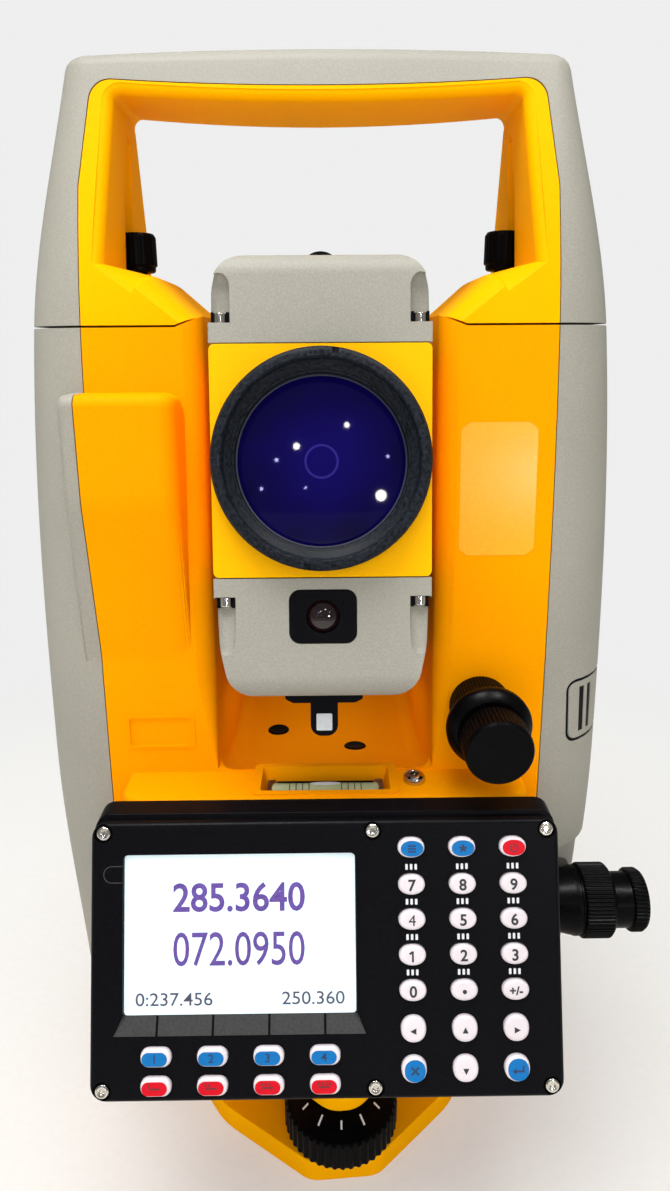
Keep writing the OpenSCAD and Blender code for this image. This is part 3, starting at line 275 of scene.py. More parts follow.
# Printed inlays of the coloured keys: lacquer with a soft gloss
BLUE_KEY = Finish("printed_silicone_blue", "#0A68AA", "#1274B8", 0.7, 0.6, 0.42, 0.06, 0.01, level=0.12)
RED_KEY = Finish("printed_silicone_red", "#C8051A", "#D21029", 0.7, 0.6, 0.42, 0.06, 0.01, level=0.12)
# Screen-printing inks on keys, housing and foot screws: flat, dull colour
INK_DARK = Finish("screen_print_ink_charcoal", "#1D1D22", "#2C2C33", 0.4, 0.6, 0.5)
INK_NAVY = Finish("screen_print_ink_navy", "#0A2C55", "#0F3763", 0.4, 0.6, 0.5)
INK_MAROON = Finish("screen_print_ink_maroon", "#6C0814", "#7A0F1C", 0.4, 0.6, 0.5)
INK_WHITE = Finish("screen_print_ink_white", "#D6D9DC", "#E6E8EA", 0.4, 0.6, 0.5)
# Lit display: cool white glow in soft, slightly uneven patches
SCREEN = Finish("backlit_display_film", "#D2E6EB", "#DDEFF3", 14.0, 0.9, 0.25, 0.05, level=0.3, glow=0.3)
# Dots of the readout: purple and slate on the light film
READOUT = Finish("display_dots_purple", "#4E3286", "#66489C", 0.9, 0.9, 0.4, glow=0.05)
READOUT_DARK = Finish("display_dots_grey", "#3E3E54", "#52526A", 0.6, 0.8, 0.4, glow=0.02)
# Vial of the levels: greenish spirit behind clear glass
VIAL = Finish("spirit_filled_glass", "#A9B58C", "#BCC79E", 6.0, 0.8, 0.08, 0.03, level=0.6, coat=0.6)
# Graduated circles: clear glass disc, seen edge-on as pale green grey
CIRCLE = Finish("graduated_glass_disc", "#AEBBB8", "#C3CECB", 2.0, 0.6, 0.12, 0.04, level=0.6, coat=0.4)
# Blank foil where the standard carries its plate: polyester, a shade lighter and glossier than the paint
FOIL = Finish("polyester_foil_yellow", "#FFA800", "#FFB006", 1.2, 0.5, 0.25, 0.05, 0.01, level=0.3)
# Frosted acrylic of the sight and the level's bubble: pale and soft
SIGHT_PLATE = Finish("frosted_acrylic", "#C3C8CC", "#D6DADD", 0.8, 0.6, 0.4, 0.05)
# Dark filter glass of the guide light: near black with a red cast and sharp highlights
GUIDE_GLASS = Finish("dark_filter_glass", "#120A0C", "#2A1416", 1.5, 0.6, 0.06, 0.03, level=0.6)


@dataclass(frozen=True)
class CoatedLensWithPaintedLight:
    """Magnesium-fluoride coated crown glass, deep indigo with hardly any reflection of its own; on it painted
    light: a faint painted glow, a painted dark reflection toward the rim and a faint painted ring reflection
    within.
    """

    name: str = "coated_crown_glass_indigo_painted_glow"
    middle: str = "#0B044C"
    # Colour toward the rim: a painted dark reflection of the barrel
    edge: str = "#03010F"
    # Colour of a faint ring: a painted reflection
    ring: str = "#2E2A80"
    reflection_ring_r_mm: float = 4.2
    lens_r_mm: float = 22.4
    cloud_mm: float = 14.0
    centre: Spot = (0.0, 0.0, 0.0)

    def material(self) -> bpy.types.Material:
        """Gives the coating, with its painted glow and painted reflections, as a node material.

        Returns:
            The material.
        """
        made = fresh(self.name, self.middle)
        tree = made.node_tree
        place = add(tree, "ShaderNodeTexCoord")
        middle = tuple(c * MM for c in self.centre)
        reach = add(tree, "ShaderNodeVectorMath", {
            0: place.outputs["Object"], 1: middle}, operation="DISTANCE")
        # Darker toward the rim, unevenly: a painted dark reflection
        fall = add(tree, "ShaderNodeMapRange", {
            "Value": reach.outputs["Value"], "From Min": 0.0, "From Max": self.lens_r_mm * MM},
            interpolation_type="SMOOTHSTEP")
        cloud = add(tree, "ShaderNodeTexNoise", {
            "Vector": place.outputs["Object"], "Scale": 1 / (self.cloud_mm * MM)})
        rim_darkening = add(tree, "ShaderNodeMath", {
            0: fall.outputs[0], 1: cloud.outputs["Fac"]}, operation="MULTIPLY")
        body = add(tree, "ShaderNodeMix", {
            0: rim_darkening.outputs[0], 6: linear(self.middle), 7: linear(self.edge)}, data_type="RGBA")
        off = add(tree, "ShaderNodeMath", {
            0: reach.outputs["Value"], 1: self.reflection_ring_r_mm * MM}, operation="SUBTRACT")
        apart = add(tree, "ShaderNodeMath", {0: off.outputs[0]}, operation="ABSOLUTE")
        # A pale line at one radius: a painted ring reflection
        line = add(tree, "ShaderNodeMapRange", {
            "Value": apart.outputs[0], "From Min": 0.15 * MM, "From Max": 0.4 * MM,
            "To Min": 0.6, "To Max": 0.0})
        with_painted_ring = add(tree, "ShaderNodeMix", {
            0: line.outputs[0], 6: body.outputs[2], 7: linear(self.ring)}, data_type="RGBA")
        # A faint glow in the glass's own colour: painted light, since the glass gives none
        shader = add(tree, "ShaderNodeBsdfPrincipled", {
            "Base Color": with_painted_ring.outputs[2], "Roughness": 0.04, "Specular IOR Level": 0.16,
            "Emission Color": with_painted_ring.outputs[2], "Emission Strength": 0.25})
        add(tree, "ShaderNodeOutputMaterial", {"Surface": shader.outputs[0]})
        return made


def unit(v: Vector) -> Vector:
    """Gives the direction of a vector."""
    return v.normalized()


def rounded(points: Sequence[Flat], radii: Sequence[float], steps: int = 6) -> list[Flat]:
    """Rounds the corners of an outline.

    Args:
        points: Corners in order.
        radii: Radius at each corner, 0 for a sharp one.
        steps: Straight steps in each round.

    Returns:
        The outline's points.
    """
    out: list[Flat] = []
    n = len(points)
    for i, r in enumerate(radii):
        b = Vector(points[i])
        if r <= 0:
            out.append((b.x, b.y))
            continue
        u = unit(Vector(points[i - 1]) - b)
        v = unit(Vector(points[(i + 1) % n]) - b)
        half = math.acos(max(-1.0, min(1.0, u.dot(v)))) / 2
        centre = b + unit(u + v) * r / math.sin(half)
        p = b + u * r / math.tan(half) - centre
        q = b + v * r / math.tan(half) - centre
        start = math.atan2(p.y, p.x)
        sweep = (math.atan2(q.y, q.x) - start + 3 * math.pi) % (2 * math.pi) - math.pi
        out += [(centre.x + r * math.cos(start + sweep * k / steps),
                 centre.y + r * math.sin(start + sweep * k / steps)) for k in range(steps + 1)]
    return out


def rect(w: float, h: float, r: float = 0.0, at: Flat = (0.0, 0.0), steps: int = 6) -> list[Flat]:
    """Outline of a rectangle with round corners.

    Args:
        w: Width.
        h: Height.
        r: Corner radius.
        at: Centre.
        steps: Straight steps in each round.

    Returns:
        The outline's points.
    """
    x, y = at
    corners = [(x - w / 2, y - h / 2), (x + w / 2, y - h / 2), (x + w / 2, y + h / 2), (x - w / 2, y + h / 2)]
    return rounded(corners, [r] * 4, steps)


def oval(w: float, h: float, at: Flat = (0.0, 0.0), power: float = 2.0, steps: int = 40) -> list[Flat]:
    """Outline of an oval, squarer as the power rises.

    Args:
        w: Width.
        h: Height.
        at: Centre.
        power: 2 for an ellipse, more for a fuller form.
        steps: Points round the outline.

    Returns:
        The outline's points.
    """
    out: list[Flat] = []
    for k in range(steps):
        a = 2 * math.pi * k / steps
        c, s = math.cos(a), math.sin(a)
        out.append((at[0] + w / 2 * math.copysign(abs(c) ** (2 / power), c),
                    at[1] + h / 2 * math.copysign(abs(s) ** (2 / power), s)))
    return out


def stadium(w: float, h: float, at: Flat = (0.0, 0.0), steps: int = 9) -> list[Flat]:
    """Outline of a slot with round ends, long across or upright.

    Args:
        w: Width.
        h: Height.
        at: Centre.
        steps: Straight steps in each quarter.

    Returns:
        The outline's points.
    """
    return rect(w, h, min(w, h) / 2 - 0.001, at, steps)


class Solid:
    """A closed mesh in millimetres that is cut and joined before it becomes a piece."""

    def __init__(self, name: str, bm: bmesh.types.BMesh) -> None:
        """Takes over a mesh under construction and turns its faces outward.

        Args:
            name: Name of the solid.
            bm: The mesh, which is used up.
        """
        bmesh.ops.recalc_face_normals(bm, faces=bm.faces[:])
        mesh = bpy.data.meshes.new(name)
        bm.to_mesh(mesh)
        bm.free()
        self.obj = bpy.data.objects.new(name, mesh)
        bpy.context.scene.collection.objects.link(self.obj)

    @classmethod
    def loft(cls, name: str, rings: Sequence[Sequence[Spot]], closed: bool = False) -> "Solid":
        """Skins rings of equal count, with flat ends or joined end to start.

        Args:
            name: Name of the solid.
            rings: Rings of points in order.
            closed: Whether the last ring joins the first.

        Returns:
            The solid.
        """
        bm = bmesh.new()
        rows = [[bm.verts.new(p) for p in ring] for ring in rings]
        n = len(rows[0])
        pairs = list(zip(rows, rows[1:] + ([rows[0]] if closed else [])))
        for low, high in pairs:
            for i in range(n):
                j = (i + 1) % n
                bm.faces.new((low[i], low[j], high[j], high[i]))
        if not closed:
            bm.faces.new(rows[0])
            bm.faces.new(rows[-1])
        return cls(name, bm)

    @classmethod
    def prism(cls, name: str, outline: Sequence[Flat], axis: str, low: float, high: float) -> "Solid":
        """Draws out an outline along an axis.

        Args:
            name: Name of the solid.
            outline: Points across the two other axes, in order x, y, z.
            axis: "x", "y" or "z".
            low: Start along the axis.
            high: End along the axis.

        Returns:
            The solid.
        """
        place: dict[str, Callable[[Flat, float], Spot]] = {
            "x": lambda p, t: (t, p[0], p[1]),
            "y": lambda p, t: (p[0], t, p[1]),
            "z": lambda p, t: (p[0], p[1], t)}
        return cls.loft(name, [[place[axis](p, t) for p in outline] for t in (low, high)])

    @classmethod
    def mark(cls, name: str, outline: Sequence[Flat]) -> "Solid":
        """Draws a printed mark flat on the xy plane."""
        return cls.prism(name, outline, "z", -INK_T, INK_T)

    @classmethod
    def gathered(cls, solids: Iterable["Solid"]) -> "Solid":
        """Gathers solids that stand apart into the first of them."""
        first, *rest = solids
        return first.gather(*rest)

    @classmethod
    def block(cls, name: str, low: Spot, high: Spot) -> "Solid":
        """Makes a box between two corners, for cutting."""
        flat = [(low[0], low[1]), (high[0], low[1]), (high[0], high[1]), (low[0], high[1])]
        return cls.prism(name, flat, "z", low[2], high[2])

    @classmethod
    def slab(cls, name: str, left: float, right: float) -> "Solid":
        """Makes a box over the casing's whole depth and height, for cutting."""
        return cls.block(name, (left, -FAR_Y, 0), (right, FAR_Y, FAR_Z))

    @classmethod
    def spin(cls, name: str, profile: Sequence[Flat], steps: int = 64, ribs: int = 0, depth: float = 0.0,
             ribbed: Sequence[int] = ()) -> "Solid":
        """Turns a profile of radius and height about the z axis.

        Args:
            name: Name of the solid.
            profile: Radius and height in order; radius 0 at both ends closes it on the axis.
            steps: Steps round the axis where there are no ribs.
            ribs: Ribs round the axis.
            depth: Depth of the grooves between ribs.
            ribbed: Numbers of the profile's points that carry the ribs.

        Returns:
            The solid.
        """
        count = ribs * 4 if ribs else steps
        bm = bmesh.new()
        rows: list[list[bmesh.types.BMVert]] = []
        for i, (r, h) in enumerate(profile):
            if r < 1e-6:
                rows.append([bm.verts.new((0, 0, h))])
                continue
            row = []
            for k in range(count):
                a = 2 * math.pi * k / count
                used = r - (depth if ribs and i in ribbed and k % 4 in (2, 3) else 0)
                row.append(bm.verts.new((used * math.cos(a), used * math.sin(a), h)))
            rows.append(row)
        on_axis = len(rows[0]) == 1
        pairs = list(zip(rows, rows[1:])) + ([] if on_axis else [(rows[-1], rows[0])])
        for low, high in pairs:
            for k in range(count):
                j = (k + 1) % count
                ring = [low[k % len(low)], low[j % len(low)], high[j % len(high)], high[k % len(high)]]
                bm.faces.new(list(dict.fromkeys(ring)))
        return cls(name, bm)

    @classmethod
    def digits(cls, name: str, text: str, height: float, depth: float, bold: float) -> "Solid":
        """Draws plain figures flat on the xy plane, centred.

        Args:
            name: Name of the solid.
            text: Figures and signs.
            height: Height of a figure.
            depth: Half thickness.
            bold: Growth of the strokes.

        Returns:
            The solid.
        """
        curve = bpy.data.curves.new(name, "FONT")
        curve.body = text
        curve.size = height / FIGURE_SHARE
        curve.align_x = "CENTER"
        curve.align_y = "CENTER"
        curve.extrude = depth
        curve.offset = bold
        curve.resolution_u = 4
        holder = bpy.data.objects.new(name, curve)
        bpy.context.scene.collection.objects.link(holder)
        mesh = bpy.data.meshes.new_from_object(holder.evaluated_get(bpy.context.evaluated_depsgraph_get()))
        bm = bmesh.new()
        bm.from_mesh(mesh)
        bpy.data.objects.remove(holder)
        bpy.data.curves.remove(curve)
        bpy.data.meshes.remove(mesh)
        bmesh.ops.remove_doubles(bm, verts=bm.verts[:], dist=1e-4)
        return cls(name, bm)

    @classmethod
    def of_node(cls, name: str, node: str) -> "Solid":
        """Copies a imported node's form, with its flat faces merged.

        Args:
            name: Name of the solid.
            node: Node of the frame.

        Returns:
            The solid.
        """
        bm = bmesh.new()
        bm.from_mesh(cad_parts[node].data)
        bm.transform(Matrix.Scale(1 / MM, 4))
        bmesh.ops.remove_doubles(bm, verts=bm.verts[:], dist=1e-3)
        bmesh.ops.dissolve_limit(bm, angle_limit=math.radians(0.8), verts=bm.verts[:], edges=bm.edges[:])
        return cls(name, bm)

    def move(self, matrix: Matrix) -> "Solid":
        """Moves the solid's points.

        Args:
            matrix: The move, in millimetres.

        Returns:
            This solid.
        """
        self.obj.data.transform(matrix)
        if matrix.determinant() < 0:
            self.obj.data.flip_normals()
        return self

    def shift(self, x: float = 0.0, y: float = 0.0, z: float = 0.0) -> "Solid":
        """Moves the solid along the axes."""
        return self.move(Matrix.Translation((x, y, z)))

    def cut(self, how: Cut, others: Iterable["Solid"]) -> "Solid":
        """Joins, takes away or keeps the overlap with other solids in turn, which are used up.

        Args:
            how: What happens.
            others: Solids to combine with.

        Returns:
            This solid.
        """
        for other in others:
            mod = self.obj.modifiers.new("cut", "BOOLEAN")
            mod.operation = how.value
            mod.solver = "EXACT"
            mod.object = other.obj
            bpy.context.view_layer.update()
            shown = self.obj.evaluated_get(bpy.context.evaluated_depsgraph_get())
            made = bpy.data.meshes.new_from_object(shown)
            self.obj.modifiers.clear()
            old, self.obj.data = self.obj.data, made
            bpy.data.meshes.remove(old)
            other.drop()
        return self

    def take(self, *others: "Solid") -> "Solid":
        """Takes other solids away from this one."""
        return self.cut(Cut.TAKE, others)

    def join(self, *others: "Solid") -> "Solid":
        """Joins other solids to this one."""
        return self.cut(Cut.JOIN, others)

    def keep(self, *others: "Solid") -> "Solid":
        """Keeps what lies inside the other solids."""
        return self.cut(Cut.KEEP, others)

    def gather(self, *others: "Solid") -> "Solid":
        """Adds other solids that stand apart, without cutting.

        Args:
            others: Solids to add, which are used up.

        Returns:
            This solid.
        """
        bm = bmesh.new()
        bm.from_mesh(self.obj.data)
        for other in others:
            bm.from_mesh(other.obj.data)
            other.drop()
        bm.to_mesh(self.obj.data)
        bm.free()
        return self

    def drop(self) -> None:
        """Deletes the solid."""
        mesh = self.obj.data
        bpy.data.objects.remove(self.obj)
        bpy.data.meshes.remove(mesh)

    def ease(self, test: Callable[[Vector, Vector], bool], width: float, segments: int = 4) -> "Solid":
        """Rounds the edges whose two ends pass a test.

        Args:
            test: Takes an edge's ends.
            width: Width of the round.
            segments: Steps in the round.

        Returns:
            This solid.
        """
        bm = bmesh.new()
        bm.from_mesh(self.obj.data)
        bmesh.ops.remove_doubles(bm, verts=bm.verts[:], dist=1e-3)
        edges = [e for e in bm.edges if len(e.link_faces) == 2 and e.calc_face_angle(0) > 0.3
                 and test(e.verts[0].co, e.verts[1].co)]
        if edges:
            bmesh.ops.bevel(bm, geom=edges, offset=width, offset_type="OFFSET", segments=segments,
                            profile=0.5, affect="EDGES", clamp_overlap=False)
        bm.to_mesh(self.obj.data)
        bm.free()
        return self

    def piece(self, finish: Finish, body: str, slot: str, replaces: Iterable[str] = (), edge: float = 0.4,
              segments: int = 2, angle: float = 32.0) -> bpy.types.Object:
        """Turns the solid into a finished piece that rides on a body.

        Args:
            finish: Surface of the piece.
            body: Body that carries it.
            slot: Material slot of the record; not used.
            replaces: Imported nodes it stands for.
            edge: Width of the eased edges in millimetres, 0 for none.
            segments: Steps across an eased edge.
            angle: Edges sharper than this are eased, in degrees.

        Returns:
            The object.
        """
        mesh = self.obj.data
        bm = bmesh.new()
        bm.from_mesh(mesh)
        bmesh.ops.remove_doubles(bm, verts=bm.verts[:], dist=1e-4)
        bmesh.ops.triangulate(bm, faces=[f for f in bm.faces if len(f.verts) > 4])
        bm.to_mesh(mesh)
        bm.free()
        mesh.transform(Matrix.Scale(MM, 4))
        mesh.shade_smooth()
        mesh.set_sharp_from_angle(angle=math.radians(angle))
        paint(mesh, finish)
        soften(self.obj, edge, segments, angle)
        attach(self.obj, body)
        names = list(replaces)
        if names:
            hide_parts(*names)
        LOG.info("piece %s on %s", self.obj.name, body)
        return self.obj


def paint(mesh: bpy.types.Mesh, finish: Finish) -> None:
    """Gives a whole mesh one finish.

    Args:
        mesh: Mesh to change.
        finish: Its surface.
    """
    mesh.materials.clear()
    mesh.materials.append(finish.material())
    for polygon in mesh.polygons:
        polygon.material_index = 0


def soften(obj: bpy.types.Object, edge: float, segments: int, angle: float) -> None:
    """Eases an object's sharp edges and evens its shading.

    Args:
        obj: Object to change.
        edge: Width of the eased edge in millimetres.
        segments: Steps across it.
        angle: Edges sharper than this are eased, in degrees.
    """
    if edge > 0:
        bevel = obj.modifiers.new("eased_edges", "BEVEL")
        bevel.width = edge * MM
        bevel.segments = segments
        bevel.limit_method = "ANGLE"
        bevel.angle_limit = math.radians(angle)
        bevel.use_clamp_overlap = True
        bevel.harden_normals = True
    even = obj.modifiers.new("even_shading", "WEIGHTED_NORMAL")
    even.keep_sharp = True


def dress(node: str, finish: Finish, edge: float = 0.4, segments: int = 2, angle: float = 32.0) -> None:
    """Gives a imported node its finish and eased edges, with its own form kept.

    Args:
        node: Node of the frame.
        finish: Surface of the node.
        edge: Width of the eased edges in millimetres.
        segments: Steps across an eased edge.
        angle: Edges sharper than this are eased, in degrees.
    """
    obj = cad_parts[node]
    paint(obj.data, finish)
    for polygon in obj.data.polygons:
        polygon.use_smooth = True
    weld = obj.modifiers.new("merged_corners", "WELD")
    weld.merge_threshold = 2e-6
    flat = obj.modifiers.new("merged_flats", "DECIMATE")
    flat.decimate_type = "DISSOLVE"
    flat.angle_limit = math.radians(0.8)
    soften(obj, edge, segments, angle)
    LOG.info("node %s dressed in %s", node, finish.name)


@dataclass
class Casing:
    """Outer form of alidade and handle: rounded rectangles through four stations.

    A station holds its height, half width, half depth and corner radius.
    """

    stations: tuple[tuple[float, float, float, float], ...] = (
        (62.0, 89.0, 52.0, 24.0), (150.0, 91.5, 53.0, 24.0),
        (284.5, 87.0, 40.0, 21.0), (358.5, 73.0, 16.0, 6.5))
    top_round: float = 3.5
    crown: float = 1.7
    crown_from: float = 335.0
    split_z: float = 284.5
    gap: float = 0.3
    split_gap: float = 0.6
    split_rise: float = 3.0
    split_out_x: float = 41.5
    split_in_x: float = 34.0
    seam_x: float = 68.0
    corner_steps: int = 10
    bar_steps: int = 8

    def slope(self, i: int, k: int) -> float:
        """Gives the slope of column k at a station, from its neighbours."""
        a, b = self.stations[max(i - 1, 0)], self.stations[min(i + 1, 3)]
        return (b[k] - a[k]) / (b[0] - a[0])

    def at(self, z: float, k: int) -> float:
        """Gives a smooth value of column k at a height.

        Args:
            z: Height.
            k: 1 for half width, 2 for half depth, 3 for the corner.

        Returns:
            The value.
        """
        i = 0 if z < self.stations[1][0] else 1 if z < self.stations[2][0] else 2
        a, b = self.stations[i], self.stations[i + 1]
        d = b[0] - a[0]
        t = (z - a[0]) / d
        return (a[k] * (2 * t ** 3 - 3 * t ** 2 + 1) + self.slope(i, k) * d * (t ** 3 - 2 * t ** 2 + t)
                + b[k] * (3 * t ** 2 - 2 * t ** 3) + self.slope(i + 1, k) * d * (t ** 3 - t ** 2))

    def below_split(self, shift: float) -> Solid:
        """Builds what lies below the split, which rises toward the fork.

        Args:
            shift: Distance above the split.

        Returns:
            The solid.
        """
        z, rise = self.split_z + shift, self.split_rise
        right = [(FAR_X, 0), (FAR_X, z), (self.split_out_x, z), (self.split_in_x, z + rise)]
        outline = right + [(-x, up) for x, up in reversed(right)]
        return Solid.prism("split", outline, "y", -FAR_Y, FAR_Y)

    def depth(self, z: float) -> float:
        """Gives the half depth at a height."""
        return self.at(z, 2)

    def ring(self, z: float) -> list[Spot]:
        """Gives one level of the casing.

        Args:
            z: Height.

        Returns:
            Points round the level.
        """
        up = z - (self.stations[3][0] - self.top_round)
        draw = 0.0 if up <= 0 else self.top_round - math.sqrt(max(0.0, self.top_round ** 2 - up ** 2))
        w, d = self.at(z, 1) - draw, self.at(z, 2) - draw
        r = max(1.0, min(self.at(z, 3) - draw, d - 1))
        t = max(0.0, min(1.0, (z - self.crown_from) / (self.stations[3][0] - self.crown_from)))
        points: list[Spot] = []
        for q in range(4):
            cx = (1 if q in (0, 3) else -1) * (w - r)
            cy = (1 if q < 2 else -1) * (d - r)
            for i in range(self.corner_steps + 1):
                a = math.radians(90 * q + 90 * i / self.corner_steps)
                x = cx + r * math.cos(a)
                points.append((x, cy + r * math.sin(a), z + self.crown * t * t * (1 - (x / w) ** 2)))
            if q % 2 == 0:
                y = cy + r * math.sin(math.radians(90 * q + 90))
                for i in range(1, self.bar_steps):
                    x = cx - 2 * cx * i / self.bar_steps
                    points.append((x, y, z + self.crown * t * t * (1 - (x / w) ** 2)))
        return points

    def solid(self, name: str, low: float, high: float, step: float = 5.0) -> Solid:
        """Builds the casing between two heights.

        Args:
            name: Name of the solid.
            low: Lower height.
            high: Upper height.
            step: Spacing of the levels.

        Returns:
            The solid.
        """
        top = self.stations[3][0]
        end = min(high, top - self.top_round)
        n = max(2, round((end - low) / step))
        levels = [low + (end - low) * i / n for i in range(n + 1)]
        if high >= top:
            levels += [top - self.top_round * (1 - math.sin(math.radians(a))) for a in (22, 45, 68, 90)]
        return Solid.loft(name, [self.ring(z) for z in levels])


@dataclass(frozen=True)
class Layout:
    """Places that several sub-assemblies share."""

    trunnion_z: float = 235.4
    scope_tilt: float = -12.0
    panel_at: Spot = (0.0, -95.0, 114.3)
    panel_tilt: float = 20.7
    deck_z: float = 150.0
    chin_half_w: float = 62.0
    h_clamp: Flat = (-57.0, 103.0)

    def scope(self) -> Matrix:
        """Gives the telescope's own axes, which tilt on the trunnions."""
        turn = Matrix.Rotation(math.radians(self.scope_tilt), 4, "X")
        return Matrix.Translation((0, 0, self.trunnion_z)) @ turn

    def panel(self) -> Matrix:
        """Gives the keyboard's own axes: x across, y up its face and z out of it."""
        turn = Matrix.Rotation(math.radians(90 - self.panel_tilt), 4, "X")
        return Matrix.Translation(self.panel_at) @ turn


CASING = Casing()
LAYOUT = Layout()
SCOPE = LAYOUT.scope()
PANEL = LAYOUT.panel()


def facing(point: Spot, axis: Spot) -> Matrix:
    """Gives a matrix that takes the z axis to a direction at a point.

    Args:
        point: New origin.
        axis: New z direction.

    Returns:
        The matrix.
    """
    turn = Vector((0, 0, 1)).rotation_difference(Vector(axis)).to_matrix().to_4x4()
    return Matrix.Translation(point) @ turn


@dataclass
class Alidade:
    """Yellow fork with its hump, deck and block, and the grey covers on its sides."""

    fork_half_w: float = 34.0
    fork_top_z: float = 300.0
    trough_r: float = 100.0
    trough_soft: float = 5.0
    chin_y: float = 70.0
    chin_rear_y: float = 20.0
    chin_soft: float = 2.2
    hump_in_x: float = 40.5
    hump_out_x: float = 73.0
    hump_y: float = 56.0
    hump_foot_z: float = 187.0
    hump_ledge_z: float = 266.5
    hump_swell: float = 0.62
    hump_root_y: float = 30.0
    hump_soft: float = 5.0
    hump_tight: float = 3.0
    lip_r: float = 6.0
    lip_run: float = 30.0
    vial_half_l: float = 19.8
    vial_ys: Flat = (-65.8, -51.6)
    relief_r: float = 13.4
    finger_z: float = 119.0
    finger_d: float = 1.9
    battery_gap: float = 0.3
    latch_at: Spot = (67.5, -29.0, 168.0)
    latch_turn: float = -38.0
    latch_size: Spot = (21.0, 19.0, 2.5)
    latch_gap: float = 1.1
    latch_slots: Flat = (-5.4, -1.4)
    slot_half_w: float = 1.25
    slot_half_h: float = 7.7
    slot_in_r: float = 17.4
    slot_out_r: float = 40.0
    low_z: float = 62.0
    cover_low_z: float = 65.0

    def hump(self) -> Solid:
        """Builds the hump that bulges from the left standard.

        Returns:
            The solid, over its whole width.
        """
        mid_z = self.hump_foot_z + (self.hump_ledge_z - self.hump_foot_z) * self.hump_swell
        foot_y = CASING.depth(self.hump_foot_z) - 0.5

        def section(x: float, inset: float) -> list[Spot]:
            """Gives the hump's upright section.

            Args:
                x: Place across.
                inset: How far it is drawn in, near the flanks.

            Returns:
                Points of the section.
            """
            y = self.hump_y - inset
            ledge = self.hump_ledge_z - inset / 2
            points = [(-self.hump_root_y, self.hump_foot_z), (-foot_y, self.hump_foot_z), (-y, mid_z),
                      (1.5 - y, ledge), (-self.hump_root_y, ledge)]
            return [(x, a, b) for a, b in rounded(points, [0, 0, 40, 3.5, 0], 10)]

        turns = [math.radians(a) for a in range(0, 91, 15)]
        soft, tight = self.hump_soft, self.hump_tight
        rows = [section(-self.hump_out_x + tight * (1 - math.cos(a)), tight * (1 - math.sin(a)))
                for a in turns]
        rows += [section(-self.hump_in_x - soft * (1 - math.cos(a)), soft * (1 - math.sin(a)))
                 for a in reversed(turns)]
        rows.append(section(-self.hump_in_x + 1.8, 14))
        return Solid.loft("hump", rows)

    def fork(self) -> Solid:
        """Builds the space between the standards with the trough below.

        Returns:
            The solid to take away.
        """
        rings = []
        turns = [math.radians(a) for a in range(0, 91, 15)]
        for side in (-1, 1):
            for turn in turns if side < 0 else reversed(turns):
                r = self.trough_r - self.trough_soft * (1 - math.sin(turn))
                x = side * (self.fork_half_w - self.trough_soft * (1 - math.cos(turn)))
                arc = [(r * math.cos(math.radians(a)), LAYOUT.trunnion_z + r * math.sin(math.radians(a)))
                       for a in range(180, 361, 4)]
                rings.append([(x, y, z) for y, z in [*arc, (r, self.fork_top_z), (-r, self.fork_top_z)]])
        return Solid.loft("fork", rings)

    def lips(self) -> Solid:
        """Builds the rounding of the fork's front and rear edges.

        Returns:
            The solid to take away.
        """
        rings = []
        for i in range(26):
            z = LAYOUT.deck_z + 1 + i * 6
            soft = self.lip_r * min(1.0, (z - LAYOUT.deck_z) / self.lip_run)
            d = CASING.depth(min(z, self.fork_top_z))
            turns = [math.radians(a) for a in (8, 25, 42, 59, 75, 90)]
            front = [(self.fork_half_w + soft * (1 - math.sin(a)), -d + soft * (1 - math.cos(a)))
                     for a in turns]
            rear = [(x, -y) for x, y in reversed(front)]
            right = [(front[0][0], -FAR_Y), *front, *rear, (front[0][0], FAR_Y)]
            rings.append([(x, y, z) for x, y in right + [(-x, y) for x, y in reversed(right)]])
        return Solid.loft("lips", rings)

    def plate(self, low: Spot, high: Spot, sink: float, r: float) -> Solid:
        """Builds a thin plate that follows the front of the standards.

        Args:
            low: Left, thickness outward and lower end.
            high: Right, thickness inward and upper end.
            sink: Depth of the plate's outer face below the surface.
            r: Corner radius.

        Returns:
            The solid.
        """
        rings = []
        span = high[2] - low[2]
        for i in range(21):
            z = low[2] + span * i / 20
            near = min(z - low[2], high[2] - z)
            inset = 0.0 if near >= r else r - math.sqrt(max(0.0, r ** 2 - (r - near) ** 2))
            y = -CASING.depth(z) + sink
            x0, x1 = low[0] + inset, high[0] - inset
            y0, y1 = y - low[1], y + high[1]
            rings.append([(x0, y0, z), (x1, y0, z), (x1, y1, z), (x0, y1, z)])
        return Solid.loft("plate", rings)

    def chin(self) -> Solid:
        """Builds the block in front of the standards with its rounded deck.

        Returns:
            The solid.
        """
        w, front, rear = LAYOUT.chin_half_w, -self.chin_y, -self.chin_rear_y
        outline = rounded([(-w, front), (w, front), (w, rear), (-w, rear)], [8, 8, 0, 0])
        solid = Solid.prism("chin", outline, "z", self.cover_low_z, LAYOUT.deck_z)

        def brow(a: Vector, b: Vector) -> bool:
            """Tests for an edge of the deck."""
            return min(a.z, b.z) > LAYOUT.deck_z - 0.01

        return solid.ease(brow, self.chin_soft, 4)

    def relief(self) -> Solid:
        """Builds the round space beside the horizontal clamp.

        Returns:
            The solid to take away.
        """
        y, z = LAYOUT.h_clamp
        relief = Solid.spin("relief", [(0, 0), (self.relief_r, 0), (self.relief_r, 60), (0, 60)], 64)
        return relief.move(facing((LAYOUT.chin_half_w, y, z), (1, 0, 0)))

